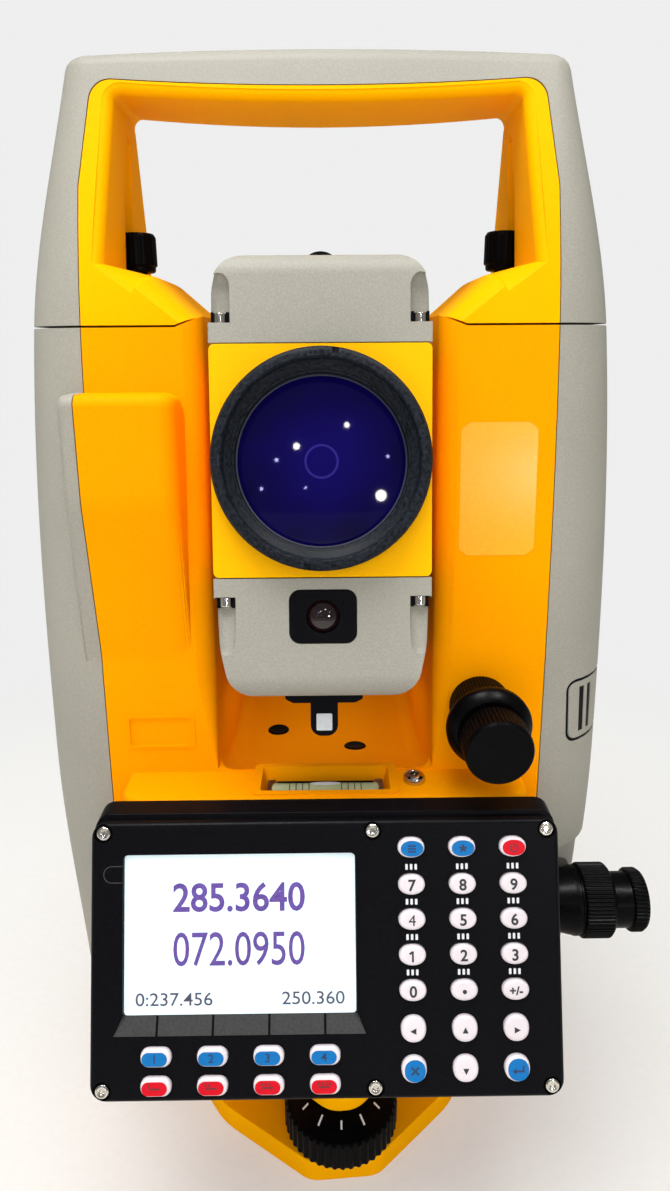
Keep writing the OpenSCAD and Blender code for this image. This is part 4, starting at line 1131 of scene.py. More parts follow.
    def dress_frame(self) -> None:
        """Builds the fork and its deck details."""
        half = CASING.seam_x - CASING.gap / 2
        solid = CASING.solid("alidade_frame_shell", self.low_z, CASING.split_z + 6)
        solid.keep(Solid.slab("seam", -half, half), CASING.below_split(-CASING.split_gap / 2))
        solid.join(self.chin())
        solid.take(self.fork(), self.lips())
        y0, y1 = self.vial_ys
        middle = (y0 + y1) / 2
        rim = Solid.prism("rim", rect(2 * self.vial_half_l + 5, y1 - y0 + 4, 2.2, (0, middle)), "z",
                          LAYOUT.deck_z - 4, LAYOUT.deck_z + 0.7)
        hump = self.hump().keep(Solid.slab("seam", -half, 0))
        solid.join(hump, rim, self.plate((-62.0, 0.35, 158.4), (-40.7, 2.0, 169.4), 0.0, 1.0))
        recess = Solid.loft("recess", [
            [(x, y, z) for x, y in rect(2 * self.vial_half_l - 2 * cut, y1 - y0 - 1.6 * cut, 1.0,
                                        (0, middle - 0.8 * cut))]
            for z, cut in ((LAYOUT.deck_z - 8, 2.6), (LAYOUT.deck_z + 0.8, 0.0), (LAYOUT.deck_z + 5, 0.0))])
        seat = Solid.spin("seat", [(0, -1), (48.5, -1), (48.5, 66), (0, 66)], 96).shift(z=self.low_z)
        window = self.plate((-61.0, 8.0, 159.3), (-41.7, 0.0, 168.5), 0.35, 0.6)
        solid.take(recess, self.relief(), window, seat)
        solid.piece(SHADED_FORK_YELLOW, "alidade", "yellow_paint", ["alidade_frame"], 0.7, 3, 36)
        foil = self.plate((40.3, 0.0, 219.0), (62.7, 0.5, 257.6), -0.12, 2.5)
        foil.obj.name = "blank_foil"
        foil.piece(FOIL, "alidade", "yellow_paint", (), 0)
        disc = [(0, 0), (4.1, 0), (4.1, 0.5), (3.5, 0.9), (2.4, 0.7), (0, 0.7)]
        plugs = Solid.spin("trough_plugs", disc, 32).move(self.on_trough(-18.5, 3.8))
        plugs.gather(Solid.spin("plug", disc, 32).move(self.on_trough(10.9, -10.9)))
        plugs.piece(KNOB, "alidade", "black_plastic", (), 0.15)

    def on_trough(self, x: float, y: float) -> Matrix:
        """Gives a place on the trough's floor, facing its axis.

        Args:
            x: Place across.
            y: Place along the telescope.

        Returns:
            The matrix.
        """
        z = LAYOUT.trunnion_z - math.sqrt(self.trough_r ** 2 - y ** 2)
        normal = Vector((0, -y, LAYOUT.trunnion_z - z)).normalized()
        return facing((x, y - normal.y * 0.3, z - normal.z * 0.3), tuple(normal))

    def dress_covers(self) -> None:
        """Builds the two grey side covers, the battery and its latch."""
        seam = CASING.seam_x + CASING.gap / 2
        top = CASING.split_z - CASING.split_gap / 2
        left = CASING.solid("left_side_cover_shell", self.cover_low_z, top)
        left.keep(Solid.slab("side", -FAR_X, -seam))
        left.join(self.hump().keep(Solid.slab("seam", -FAR_X, -seam)))
        left.piece(GREY, "alidade", "grey_cover", ["left_side_cover"], 0.6, 3, 36)
        right = CASING.solid("right_side_cover_shell", self.cover_low_z, top)
        right.keep(Solid.slab("side", seam, FAR_X))
        low, high = [[c / MM for c in corner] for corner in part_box("battery_pack")]
        gap = self.battery_gap
        bay = Solid.block("battery", tuple(c - gap for c in low), (FAR_X, high[1] + gap, high[2] + gap))
        right.take(bay, self.relief(), self.latch_block(self.latch_gap), self.finger_room())
        right.piece(GREY, "alidade", "grey_cover", ["right_side_cover"], 0.6, 3, 36)
        dress("battery_pack", GREY, 0.8, 3)
        latch = self.latch_stock("battery_latch_button").keep(self.latch_block(0.0))
        for across in self.latch_slots:
            latch.take(self.latch_slot(across))
        latch.piece(GREY, "battery_latch", "grey_cover", ["battery_latch"], 0.5, 3, 36)
        self.latch_gap_shade()

    def latch_gap_shade(self) -> None:
        """Builds painted shade: a black ring sunk in the gap round the latch and black strips in its slots,
        where there is only shade.
        """
        sink = self.latch_inward(0.25)
        # Black ring in the latch's gap: painted shade
        gap_shade_ring = self.latch_stock("latch_gap_shade").move(sink)
        bore = self.latch_block(0.1).move(self.latch_inward(6))
        gap_shade_ring.keep(self.latch_block(self.latch_gap - 0.05)).take(bore)
        gap_shade_ring.piece(BLACK, "alidade", "black_plastic", (), 0)
        # Black strips on the slots' floors: painted shade
        slot_shade_strips = Solid.gathered(
            self.latch_stock("battery_latch_slot_shade").move(sink).keep(self.latch_slot(across, 0.1, 0.03))
            for across in self.latch_slots)
        slot_shade_strips.piece(BLACK, "battery_latch", "black_plastic", (), 0)

    def latch_stock(self, name: str) -> Solid:
        """Builds the stretch of the casing that the latch is cut from."""
        return CASING.solid(name, 150, 190, 2.5)

    def latch_slot(self, across: float, lift: float = 0.0, slack: float = 0.0) -> Solid:
        """Builds one grip slot of the latch, or the strip that lies in it.

        Args:
            across: Middle of the slot across the latch.
            lift: Height above the slot's floor.
            slack: Room left at the slot's walls.

        Returns:
            The solid.
        """
        w, h = self.slot_half_w - slack, self.slot_half_h - slack
        slot = Solid.block("slot", (self.slot_in_r + lift, across - w, -h), (self.slot_out_r, across + w, h))
        return slot.move(self.latch_place())

    def latch_inward(self, depth: float) -> Matrix:
        """Gives a move into the casing along the latch's way."""
        return Matrix.Translation(self.latch_place().to_3x3() @ Vector((-depth, 0, 0)))

    def finger_room(self) -> Solid:
        """Builds the shallow cut in the right cover's front corner, above the horizontal clamp."""
        room = Solid.block("room", (60, -FAR_Y, 60), (FAR_X, -27.5, self.finger_z))
        return room.take(CASING.solid("inner", 55, self.finger_z + 10).shift(x=-self.finger_d))

    def latch_place(self) -> Matrix:
        """Gives the latch's place: the corner's axis, turned to its middle."""
        return Matrix.Translation(self.latch_at) @ Matrix.Rotation(math.radians(self.latch_turn), 4, "Z")

    def latch_block(self, grow: float) -> Solid:
        """Builds the latch's outline through the corner.

        Args:
            grow: Gap round the latch.

        Returns:
            The solid.
        """
        w, h, r = self.latch_size
        outline = rect(w + 2 * grow, h + 2 * grow, r + grow)
        return Solid.prism("latch", outline, "x", 16 - 4 * grow, 60).move(self.latch_place())


@dataclass
class Handle:
    """Yellow carrying handle in its grey cap, with the two screws that hold it."""

    top_z: float = CASING.stations[3][0]
    low_z: float = 270.0
    inner_x: float = 35.0
    cap_t: float = 6.75
    sag: float = 2.25
    top_half_w: float = 64.5
    taper_z: float = 322.3
    inset_r: float = 6.0
    foot_z: float = 301.5
    grip_foot: float = 61.5
    grip_top: float = 58.5
    grip_top_z: float = 347.75
    grip_round: float = 2.2
    mouth_r: float = 3.3
    foot_drop: float = 4.5
    foot_soft: float = 22.0
    rear_share: float = 0.8
    screw_x: float = 58.75
    well: tuple[Flat, ...] = ((0, 0), (7.1, 0), (7.1, 20), (3.2, 38), (0, 40))
    knob: tuple[Flat, ...] = (
        (0, -17), (2.5, -17), (2.5, 0), (4.9, 0), (5.3, 0.5), (5.3, 1.6), (5.9, 2.0), (5.9, 10.4),
        (5.2, 11.5), (2.4, 11.8), (0, 11.8))

    def sagging(self, half: float, z: float, steps: int = 16) -> list[Flat]:
        """Gives the sagging edge of the bar, from right to left.

        Args:
            half: Half width of the edge.
            z: Height of its ends.
            steps: Straight steps in it.

        Returns:
            Points between the ends.
        """
        xs = [half * (1 - 2 * i / steps) for i in range(1, steps)]
        return [(x, z - self.sag * (1 - (x / half) ** 2)) for x in xs]

    def outline(self, grow: float) -> list[Flat]:
        """Gives the seam between yellow and grey.

        Args:
            grow: Distance outside the seam.

        Returns:
            Points in x and z.
        """
        side, corner = CASING.seam_x + grow, self.top_half_w + grow
        top = self.top_z - self.cap_t + grow
        bar = self.sagging(corner, top)
        points = [(-side, self.low_z), (side, self.low_z), (side, self.taper_z), (corner, top), *bar,
                  (-corner, top), (-side, self.taper_z)]
        return rounded(points, [0, 0, 0, self.inset_r] + [0.0] * len(bar) + [self.inset_r, 0], 8)

    def opening(self) -> list[Flat]:
        """Gives the outline of the grip's opening.

        Returns:
            Points in x and z.
        """
        mid = (self.inner_x + self.grip_foot) / 2 + 2
        right = [(self.inner_x, self.low_z), (self.inner_x, CASING.split_z + 1), (mid, self.foot_z - 2),
                 (self.grip_foot, self.foot_z), (self.grip_top, self.grip_top_z)]
        bar = self.sagging(self.grip_top, self.grip_top_z)
        left = [(-x, z) for x, z in reversed(right)]
        return rounded([*right, *bar, *left],
                       [0, 0, 6, 0, self.grip_round] + [0.0] * len(bar) + [self.grip_round, 0, 6, 0, 0], 8)

    def mouth(self) -> Solid:
        """Builds the opening with rounded front and rear edges, wider toward the rear.

        Returns:
            The solid to take away.
        """
        flat = self.opening()
        n = len(flat)
        out = []
        for i in range(n):
            along = unit(Vector(flat[(i + 1) % n]) - Vector(flat[i - 1]))
            out.append((along.y, -along.x))

        def ring(angle: float, side: int, wide: float = 0.0) -> list[Spot]:
            """Gives the outline at one turn of its rounded edge.

            Args:
                angle: The turn, from the face inward.
                side: -1 for the front, 0 for the middle, 1 for the rear.
                wide: Share of the widening toward the rear.

            Returns:
                Points of the outline.
            """
            points = []
            for (x, z), (nx, nz) in zip(flat, out):
                foot = max(0.0, -nz) ** 2
                leg = max(0.0, min(1.0, (z - self.foot_z) / 4)) * abs(nx)
                push = (self.mouth_r + self.foot_drop * foot) * (1 - math.sin(angle))
                rise = max(0.0, min(1.0, (z - self.foot_z) / (self.grip_top_z - self.foot_z)))
                push += wide * ((4.9 - 2.9 * rise) * leg + 2.0 * max(0.0, nz))
                z2 = z + nz * push
                deep = (self.mouth_r + self.foot_soft * foot) * (1 - math.cos(angle))
                y = 0.0 if side == 0 else side * (CASING.depth(z2) - deep)
                points.append((x + nx * push, y, z2))
            return points

        turns = [math.radians(a) for a in (8, 24, 40, 56, 72, 90)]
        front, rear = [[(x, side * FAR_Y, z) for x, _, z in ring(turns[0], side, wide)]
                       for side, wide in ((-1, 0.0), (1, self.rear_share))]
        rings = [front, *[ring(a, -1) for a in turns], ring(math.pi / 2, 0)]
        rings += [*[ring(a, 1, self.rear_share) for a in reversed(turns)], rear]
        return Solid.loft("mouth", rings)

    def build(self) -> None:
        """Builds the handle, its cap and its screws."""
        low = CASING.split_z + CASING.split_gap / 2
        yellow = CASING.solid("handle_frame_shell", CASING.split_z, self.top_z, 4)
        yellow.keep(Solid.prism("seam", self.outline(-CASING.gap / 2), "y", -FAR_Y, FAR_Y))
        yellow.take(self.mouth(), CASING.below_split(CASING.split_gap / 2))
        for side in (-1, 1):
            yellow.take(Solid.spin("well", self.well, 48).shift(side * self.screw_x, 0, self.foot_z))
        yellow.piece(LIT_YELLOW, "alidade", "yellow_paint", ["handle_frame"], 0.5, 3, 36)
        grey = CASING.solid("handle_cap_shell", low, self.top_z, 4)
        grey.take(Solid.prism("seam", self.outline(CASING.gap / 2), "y", -FAR_Y, FAR_Y))
        grey.piece(GREY, "alidade", "grey_cover", ["handle_cap"], 0.5, 3, 36)
        for side, node in ((-1, "handle_screw_left"), (1, "handle_screw_right")):
            screw = Solid.spin(node + "_knob", self.knob, ribs=24, depth=0.12, ribbed=(6, 7))
            screw.shift(side * self.screw_x, 0, self.foot_z + 0.3)
            screw.piece(KNOB, node, "black_plastic", [node], 0.2)


@dataclass
class Telescope:
    """Telescope between the standards: yellow housing, grey covers, objective, sights and eyepiece."""

    half_w: float = 29.0
    front: float = 70.0
    rear: float = 58.0
    half_h: float = 30.3
    seam: float = 0.3
    upper_h: float = 23.6
    lower_h: float = 33.4
    screw_x: float = 26.0
    channel_r: float = 2.8
    flange_h: float = 5.0
    head: tuple[Flat, ...] = (
        (0, 1.6), (0.9, 1.6), (0.9, 2.6), (1.35, 2.6), (1.6, 2.35), (1.6, 0.0), (1.2, 0.0), (1.2, -4.0),
        (0, -4.0))
    # Black ring behind each screw head: painted shade of the channel round it
    shade_sleeve: tuple[Flat, ...] = ((1.7, 0.02), (2.4, 0.02), (2.4, 2.9), (1.7, 2.9))
    bore_r: float = 25.15
    bore_l: float = 18.0
    lens_r: float = 22.45
    lens_bulge: float = 2.2
    lens_steps: int = 20
    guide_s: float = -40.9
    guide: Flat = (17.8, 14.2)

    def build(self) -> None:
        """Builds every piece of the telescope."""
        housing = Solid.prism("telescope_housing_shell", rect(2 * self.half_w, 2 * self.half_h, 1.5), "y",
                              -self.front, self.rear)
        r, deep = self.bore_r, self.bore_l + 1
        bore = Solid.spin("bore", [(0, 0), (r, 0), (r, deep), (0, deep)], 96)
        housing.take(bore.move(facing((0, -self.front + self.bore_l, 0), (0, -1, 0))))
        housing.move(SCOPE).piece(LIT_SCOPE_YELLOW, "telescope", "yellow_paint", ["telescope_housing"], 0.9, 3)
        self.covers()
        self.objective()
        self.fittings()

    def cover(self, name: str, section: Sequence[Flat], side: Sequence[Flat]) -> Solid:
        """Builds a cover.

        Args:
            name: Name of the solid.
            section: Outline across the telescope.
            side: Outline from the side.

        Returns:
            The solid.
        """
        solid = Solid.prism(name, section, "y", -self.front, self.rear)
        return solid.keep(Solid.prism("side", side, "x", -40, 40))

    def covers(self) -> None:
        """Builds the upper and lower cover with their flanges and screw channels."""
        low, top = self.half_h + self.seam, self.half_h + self.upper_h
        step, w = low + self.flange_h, self.half_w
        crown = w - 0.9
        front, rear = -self.front, self.rear
        section = rounded(
            [(-w, low), (w, low), (w, step), (w - 0.6, step + 0.6), (crown, top), (-crown, top),
             (0.6 - w, step + 0.6), (-w, step)], [0, 0, 0.3, 0.3, 10.5, 10.5, 0.3, 0.3], 10)
        side = rounded([(front, low), (rear, low), (rear, top), (front, top)], [0, 0, 14, 6], 10)
        upper = self.cover("telescope_upper_cover_shell", section, side)
        bottom = -self.half_h - self.lower_h
        cheek, jaw = w - 1.2, w - 4.2
        section = rounded(
            [(-w, -low), (-w, -step), (0.6 - w, -step - 0.6), (-cheek, -low - 18), (-jaw, bottom),
             (jaw, bottom), (cheek, -low - 18), (w - 0.6, -step - 0.6), (w, -step), (w, -low)],
            [0, 0.3, 0.3, 20, 9.5, 9.5, 20, 0.3, 0.3, 0], 10)
        side = rounded([(front, -low), (front, bottom), (rear, bottom), (rear, -low)], [0, 7, 22, 0], 10)
        lower = self.cover("telescope_lower_cover_shell", section, side)
        r = self.channel_r
        heads: list[Solid] = []
        shade_sleeves: list[Solid] = []
        for end in (-1, 1):
            y = front + 1.6 if end < 0 else rear - 1.6
            for x in (-self.screw_x, self.screw_x):
                for up, cover in ((1, upper), (-1, lower)):
                    reach, lean = (9.6, 0.0) if up > 0 else (13.5, 0.17)
                    lane = Solid.spin("channel", [
                        (0, 0), (r, 0), (r, reach), (0.86 * r, reach + 1.4), (0.5 * r, reach + 2.6),
                        (0, reach + 3.2)], 40)
                    way = unit(Vector((0, end * lean, up)))
                    cover.take(lane.move(facing((x, y + 0.9 * end, up * step), tuple(way))))
                    seat = facing((x, y, up * step), (0, 0, up))
                    heads.append(Solid.spin("telescope_screw_heads", self.head, 24).move(seat))
                    # Black ring behind the head, open toward the outside: painted shade
                    shade_sleeve = Solid.spin("telescope_screw_shade_sleeves", self.shade_sleeve, 32).move(seat)
                    near, far = sorted((y + 0.5 * end, y + 4 * end))
                    shade_sleeves.append(shade_sleeve.take(Solid.block("front", (x - 4, near, -80), (x + 4, far, 80))))
        gw, gh = self.guide
        recess = rect(gw + 0.4, gh + 0.4, 3, (0, self.guide_s))
        lower.take(Solid.prism("guide", recess, "y", front - 1, front + 4))
        upper.move(SCOPE).piece(GREY, "telescope", "grey_cover", ["telescope_upper_cover"], 0.8, 3)
        lower.move(SCOPE).piece(GREY, "telescope", "grey_cover", ["telescope_lower_cover"], 0.8, 3)
        Solid.gathered(heads).move(SCOPE).piece(
            NICKEL, "telescope", "nickel_screw", ["telescope_screws"], 0.15)
        # The black rings round the screw heads: painted shade
        Solid.gathered(shade_sleeves).move(SCOPE).piece(BLACK, "telescope", "black_plastic", (), 0)

    def objective(self) -> None:
        """Builds the objective's ring and its coated lens."""
        f = self.front
        thread = [(24.9 - 0.4 * (k // 2) + 0.06 * (k % 2), f + 5.3 - 0.3 * k) for k in range(9)]
        back = f - self.bore_l
        ring = [(25.0, back), (25.0, f), (27.6, f), (28.3, f + 0.8), (28.3, f + 6.6), (27.7, f + 7.6),
                (26.9, f + 8.0), (25.7, f + 8.0), (25.3, f + 7.4), (25.2, f + 5.6), *thread,
                (23.3, f + 2.2), (22.7, f + 1.9), (22.5, f - 4.0), (20.0, f - 4.0), (20.0, back)]
        barrel = Solid.spin("objective_ring_barrel", ring, 120)
        notch_a = Solid.block("notch", (3.0, 26.2, f + 6.4), (4.6, 27.9, f + 9))
        notch_b = Solid.block("notch", (-4.6, -27.9, f + 6.4), (-3.0, -26.2, f + 9))
        barrel.take(notch_a, notch_b)
        turn = facing((0, 0, 0), (0, -1, 0))
        barrel.move(SCOPE @ turn).piece(RING, "telescope", "black_anodised", ["objective_ring"], 0.25, 2, 30)
        lens_r, bulge, steps = self.lens_r, self.lens_bulge, self.lens_steps
        curve = (lens_r ** 2 + bulge ** 2) / (2 * bulge)
        dome = [(r, f + 1.0 + math.sqrt(curve ** 2 - r ** 2) - curve)
                for r in (lens_r * k / steps for k in range(steps, -1, -1))]
        lens = Solid.spin("objective_lens_glass", [(0, f - 4), (lens_r, f - 4), *dome], 96)
        inner, outer = lens_r - 0.25, lens_r + 0.2
        edge = Solid.spin("objective_lens_bevel", [
            (inner, f - 1.6), (outer, f - 1.6), (outer, f - 0.9), (inner, f - 1.0)], 120)
        edge.move(SCOPE @ turn).piece(GROUND_GLASS, "telescope", "coated_glass", (), 0)
        apex = SCOPE @ Vector((0, -f - 1.0, 0))
        lens.move(SCOPE @ turn).piece(CoatedLensWithPaintedLight(centre=tuple(apex)), "telescope", "coated_glass",
                                      ["objective_lens"], 0)

    def fittings(self) -> None:
        """Dresses the guide window, sights, axles and eyepiece."""
        w, h = self.guide
        front = -self.front
        outline = rect(w, h, 2.8, (0, self.guide_s))
        plate = Solid.prism("guide_window_plate", outline, "y", front - 0.2, front + 3.8)
        hole = Solid.spin("hole", [(0, -1), (4.5, -1), (4.5, 3), (0, 3)], 48)
        plate.take(hole.move(facing((0, front, self.guide_s), (0, 1, 0))))
        plate.move(SCOPE).piece(BLACK, "telescope", "black_plastic", ["guide_window"], 0.3)
        eye = Solid.spin("guide_window_lens", [
            (0, 0), (4.4, 0), (4.4, 1.6), (3.7, 2.2), (2.4, 2.7), (0, 3.0)], 48)
        eye.move(SCOPE @ facing((0, front + 2.9, self.guide_s), (0, -1, 0)))
        eye.piece(GUIDE_GLASS, "telescope", "coated_glass", (), 0)
        bottom, top = -self.half_h - self.lower_h, self.half_h + self.upper_h
        tongue = rounded(
            [(-3.9, bottom + 0.5), (3.9, bottom + 0.5), (3.9, bottom - 13), (-3.9, bottom - 13)],
            [0, 0, 3.2, 3.2], 8)
        stem = Solid.prism("sights_moulding", tongue, "y", -58, -40)
        foot = rounded(
            [(-11, bottom + 0.3), (11, bottom + 0.3), (11, bottom - 1.9), (8.8, bottom - 3.0),
             (-8.8, bottom - 3.0), (-11, bottom - 1.9)], [0, 0, 0.8, 1.5, 1.5, 0.8], 5)
        stem.join(Solid.prism("foot", foot, "y", -59.6, -38.4))
        hood = Solid.prism("hood", oval(9.7, 7.2, (0, top + 7.4)), "y", -34, 0)
        hood.join(Solid.prism("stem", rect(5, 8, 0.5, (0, top + 3.6)), "y", -32, -2),
                  Solid.prism("foot", rect(18, 3.3, 0.8, (0, top + 1.3)), "y", -34, 0))
        stem.gather(hood)
        stem.move(SCOPE).piece(BLACK, "telescope", "black_plastic", ["sights"], 0.4, 3)
        pane = Solid.prism("sight_pane", rect(4.5, 4.9, 0.4, (0, bottom - 8.9)), "y", -58.3, -57.5)
        pane.move(SCOPE).piece(SIGHT_PLATE, "telescope", "vial_glass", (), 0.1)
        for node, finish, edge in (
                ("trunnion_axles", STEEL, 0.4), ("vertical_circle", CIRCLE, 0.2),
                ("trunnion_bearings", STEEL, 0.4), ("eyepiece_tube", BLACK, 0.3),
                ("focus_ring", KNOB, 0.25), ("eyepiece_ring", KNOB, 0.25)):
            dress(node, finish, edge)


@dataclass
class Keyboard:
    """Tilted keyboard unit with its display, keys and printed marks."""

    w: float = 132.8
    h: float = 77.0
    soft: float = 1.5
    corner_r: float = 4.5
    window: tuple[float, float, float, float] = (-24.4, 7.0, 65.7, 44.7)
    film_t: float = 4.8
    film_sink: float = 1.2
    ledge_slots: tuple[float, ...] = (-47.7, -32.0, -16.2, -0.5)
    sensor: Flat = (-58.3, 24.0)
    screw_x: float = 62.9
    screw_s: float = 35.4
    mid_x: float = 13.4
    columns: Spot = (24.2, 38.6, 53.0)
    number_rows: tuple[float, ...] = (20.5, 10.8, 1.05, -8.7)
    top_s: float = 30.8
    arrow_s: float = -19.1
    low_s: float = -30.0
    fkey_x: float = -47.7
    fkey_pitch: float = 15.7
    blue_s: float = -25.9
    red_s: float = -33.8
    key_top: float = 1.35
    key_base: float = -4.6
    small_key: Flat = (7.6, 5.7)
    tall_key: Flat = (7.1, 7.3)
    pill_key: Flat = (8.6, 5.2)
    adjusting: Spot = (27.6, -59.5, LAYOUT.deck_z)
    names: tuple[str, ...] = ("7", "8", "9", "4", "5", "6", "1", "2", "3", "0", ".", "+/-")
    one: tuple[Flat, ...] = (
        (0.27, 1.5), (-0.25, 1.5), (-1.05, 0.95), (-0.78, 0.5), (-0.27, 0.85), (-0.27, -1.5), (0.27, -1.5))

    def build(self) -> None:
        """Builds the keyboard's pieces in order."""
        dress("keyboard_housing", BLACK, 1.2, 4, 40)
        self.face()
        self.display()
        self.screws()
        self.number_keys()
        self.function_keys()
        self.command_keys()
        self.marks()

    def ledge_wedge(self) -> Solid:
        """Builds the sloped space below the window.

        Returns:
            The solid to take away.
        """
        x, s, w, h = self.window
        top, low = s - h / 2 + 0.5, s - h / 2 - 5.2
        half_top, half_low = w / 2 + 0.3, w / 2 + 2.6
        return Solid.loft("wedge", [
            [(x - half_low, low, at_low), (x + half_low, low, at_low),
             (x + half_top, top, at_top), (x - half_top, top, at_top)]
            for at_low, at_top in ((-0.05, -1.6), (1.5, 1.5))])

    def face(self) -> None:
        """Builds the front frame and the grained ledge below its window."""
        face = Solid.of_node("keyboard_bezel_face", "keyboard_bezel").move(PANEL.inverted())
        turns = [math.radians(a) for a in (0, 22, 45, 68, 90)]
        levels = [(-15.0, 0.0)]
        levels += [(self.soft * (math.sin(a) - 1) + 0.02, self.soft * (1 - math.cos(a))) for a in turns]
        full_w, full_h = self.w + 0.1, self.h + 0.1
        face.keep(Solid.loft("rim", [
            [(a, b, n) for a, b in rect(full_w - 2 * inset, full_h - 2 * inset, self.corner_r - inset)]
            for n, inset in levels]))
        face.take(self.ledge_wedge()).move(PANEL)
        face.piece(BLACK, "alidade", "black_plastic", ["keyboard_bezel"], 0.3, 2, 36)
        x, s, w, h = self.window
        top, low = s - h / 2 + 0.2, s - h / 2 - 5.15
        half_top, half_low = w / 2 + 0.2, w / 2 + 2.5
        ledge = Solid.loft("display_ledge", [
            [(x - half_low, low, -0.05 + lift), (x + half_low, low, -0.05 + lift),
             (x + half_top, top, -1.55 + lift), (x - half_top, top, -1.55 + lift)] for lift in (-0.4, 0.12)])
        for slot_x in self.ledge_slots:
            ledge.take(Solid.block("slot", (slot_x - 0.3, low - 1, -3), (slot_x + 0.3, top + 1, 2)))
        ledge.move(PANEL).piece(LEDGE, "alidade", "black_plastic", (), 0.08, 1)
        trace = Solid.prism("sensor_mark", stadium(9.0, 4.8, self.sensor), "z", 0.0, 0.06)
        trace.take(Solid.prism("inside", stadium(8.5, 4.3, self.sensor), "z", -1, 1),
                   Solid.block("edge", (-57.4, 10, -1), (-40, 40, 1)))
        trace.move(PANEL).piece(LEDGE, "alidade", "black_plastic", (), 0)

    def display(self) -> None:
        """Builds the lit screen with a plain numeric readout."""
        x, s, w, h = self.window
        film = rect(w - 0.3, h - 0.3, 1.0, (x, s))
        screen = Solid.prism("display_screen_film", film, "z", -self.film_sink - self.film_t, -self.film_sink)
        screen.move(PANEL).piece(SCREEN, "alidade", "display_screen", ["display_panel"], 0.2)

        def row(name: str, text: str, height: float, bold: float, stretch: float, place: Flat) -> Solid:
            """Draws a row of figures on the film, at a place from its middle."""
            figures = Solid.digits(name, text, height, 0.02, bold).move(Matrix.Diagonal((stretch, 1, 1, 1)))
            return figures.shift(x + place[0], s + place[1], 0.03 - self.film_sink)

        large = row("readout_large", "285.3640", 7.6, 0.2, 0.92, (-0.3, 9.6))
        large.gather(row("second", "072.0950", 9.2, 0.04, 0.76, (-0.3, -4.8)))
        large.move(PANEL).piece(READOUT, "alidade", "display_screen", (), 0)
        small = row("readout_small", "0:237.456", 3.5, 0.02, 1.1, (-18.6, -18.2))
        small.gather(row("small", "250.360", 3.5, 0.02, 1.1, (20.6, -18.2)))
        small.move(PANEL).piece(READOUT_DARK, "alidade", "display_screen", (), 0)

    def screws(self) -> None:
        """Builds the six face screws and the level's adjusting screw."""
        head = [(0, -0.5), (0.75, -0.5), (0.85, 0.02), (1.5, 0.1), (1.9, -0.15), (2.05, -0.6), (2.05, -1.4),
                (1.25, -1.4), (1.25, -8.5), (0, -8.5)]
        screws = Solid.gathered(
            Solid.spin("case_screw_heads", head, ribs=6, depth=0.18, ribbed=(1,)).shift(x, s)
            for x in (-self.screw_x, self.mid_x, self.screw_x) for s in (-self.screw_s, self.screw_s))
        screws.move(PANEL)
        dome = [(0, 0.6), (1.3, 0.6), (1.6, 2.5), (2.4, 2.4), (3.2, 1.8), (3.5, 0.9), (3.5, -0.1),
                (1.5, -0.1), (1.5, -5.2), (0, -5.2)]
        adjusting = Solid.spin("adjusting", dome, ribs=4, depth=0.4, ribbed=(1, 2))
        screws.gather(adjusting.shift(*self.adjusting))
        screws.piece(NICKEL, "alidade", "nickel_screw", ["case_screws"], 0.12)

    def key_form(self, name: str, outline: Callable[[float], list[Flat]]) -> Solid:
        """Builds a rubber key with a rounded top.

        Args:
            name: Name of the solid.
            outline: Gives the key's outline for an inset.

        Returns:
            The solid, on the panel's own axes.
        """
        top = self.key_top
        rows = [(self.key_base, 0.0), (top - 0.9, 0.0), (top - 0.5, 0.12), (top - 0.22, 0.35),
                (top - 0.07, 0.7), (top, 1.15)]
        return Solid.loft(name, [[(p[0], p[1], n) for p in outline(inset)] for n, inset in rows])

    def oval_key(self, name: str, place: Flat, size: Flat, power: float) -> Solid:
        """Builds an oval rubber key.

        Args:
            name: Name of the solid.
            place: Centre on the panel.
            size: Width and height.
            power: Fullness of the oval.

        Returns:
            The solid, on the panel's own axes.
        """
        w, h = size
        return self.key_form(name, lambda inset: oval(w - 2 * inset, h - 2 * inset, place, power))

    def figure(self, text: str) -> Solid:
        """Draws the figure of a number key, flat and centred.

        Args:
            text: The figure.

        Returns:
            The solid.
        """
        name = "number_figures"
        if text == ".":
            return Solid.mark(name, oval(1.2, 1.2))
        if text == "1":
            return Solid.mark(name, self.one)
        return Solid.digits(name, text, 2.2 if len(text) > 1 else 3.0, INK_T, 0.0 if text == "4" else 0.1)

    def number_keys(self) -> None:
        """Builds the twelve number keys with their figures."""
        keys: list[Solid] = []
        figures: list[Solid] = []
        for i, text in enumerate(self.names):
            x, s = self.columns[i % 3], self.number_rows[i // 3]
            keys.append(self.oval_key("number_keys_rubber", (x, s), self.small_key, 2.1))
            figures.append(self.figure(text).shift(x, s - 0.2, self.key_top + 0.02))
        Solid.gathered(keys).move(PANEL).piece(WHITE_KEY, "number_keys", "white_key", ["number_keys"], 0)
        Solid.gathered(figures).move(PANEL).piece(INK_DARK, "number_keys", "black_plastic", (), 0)

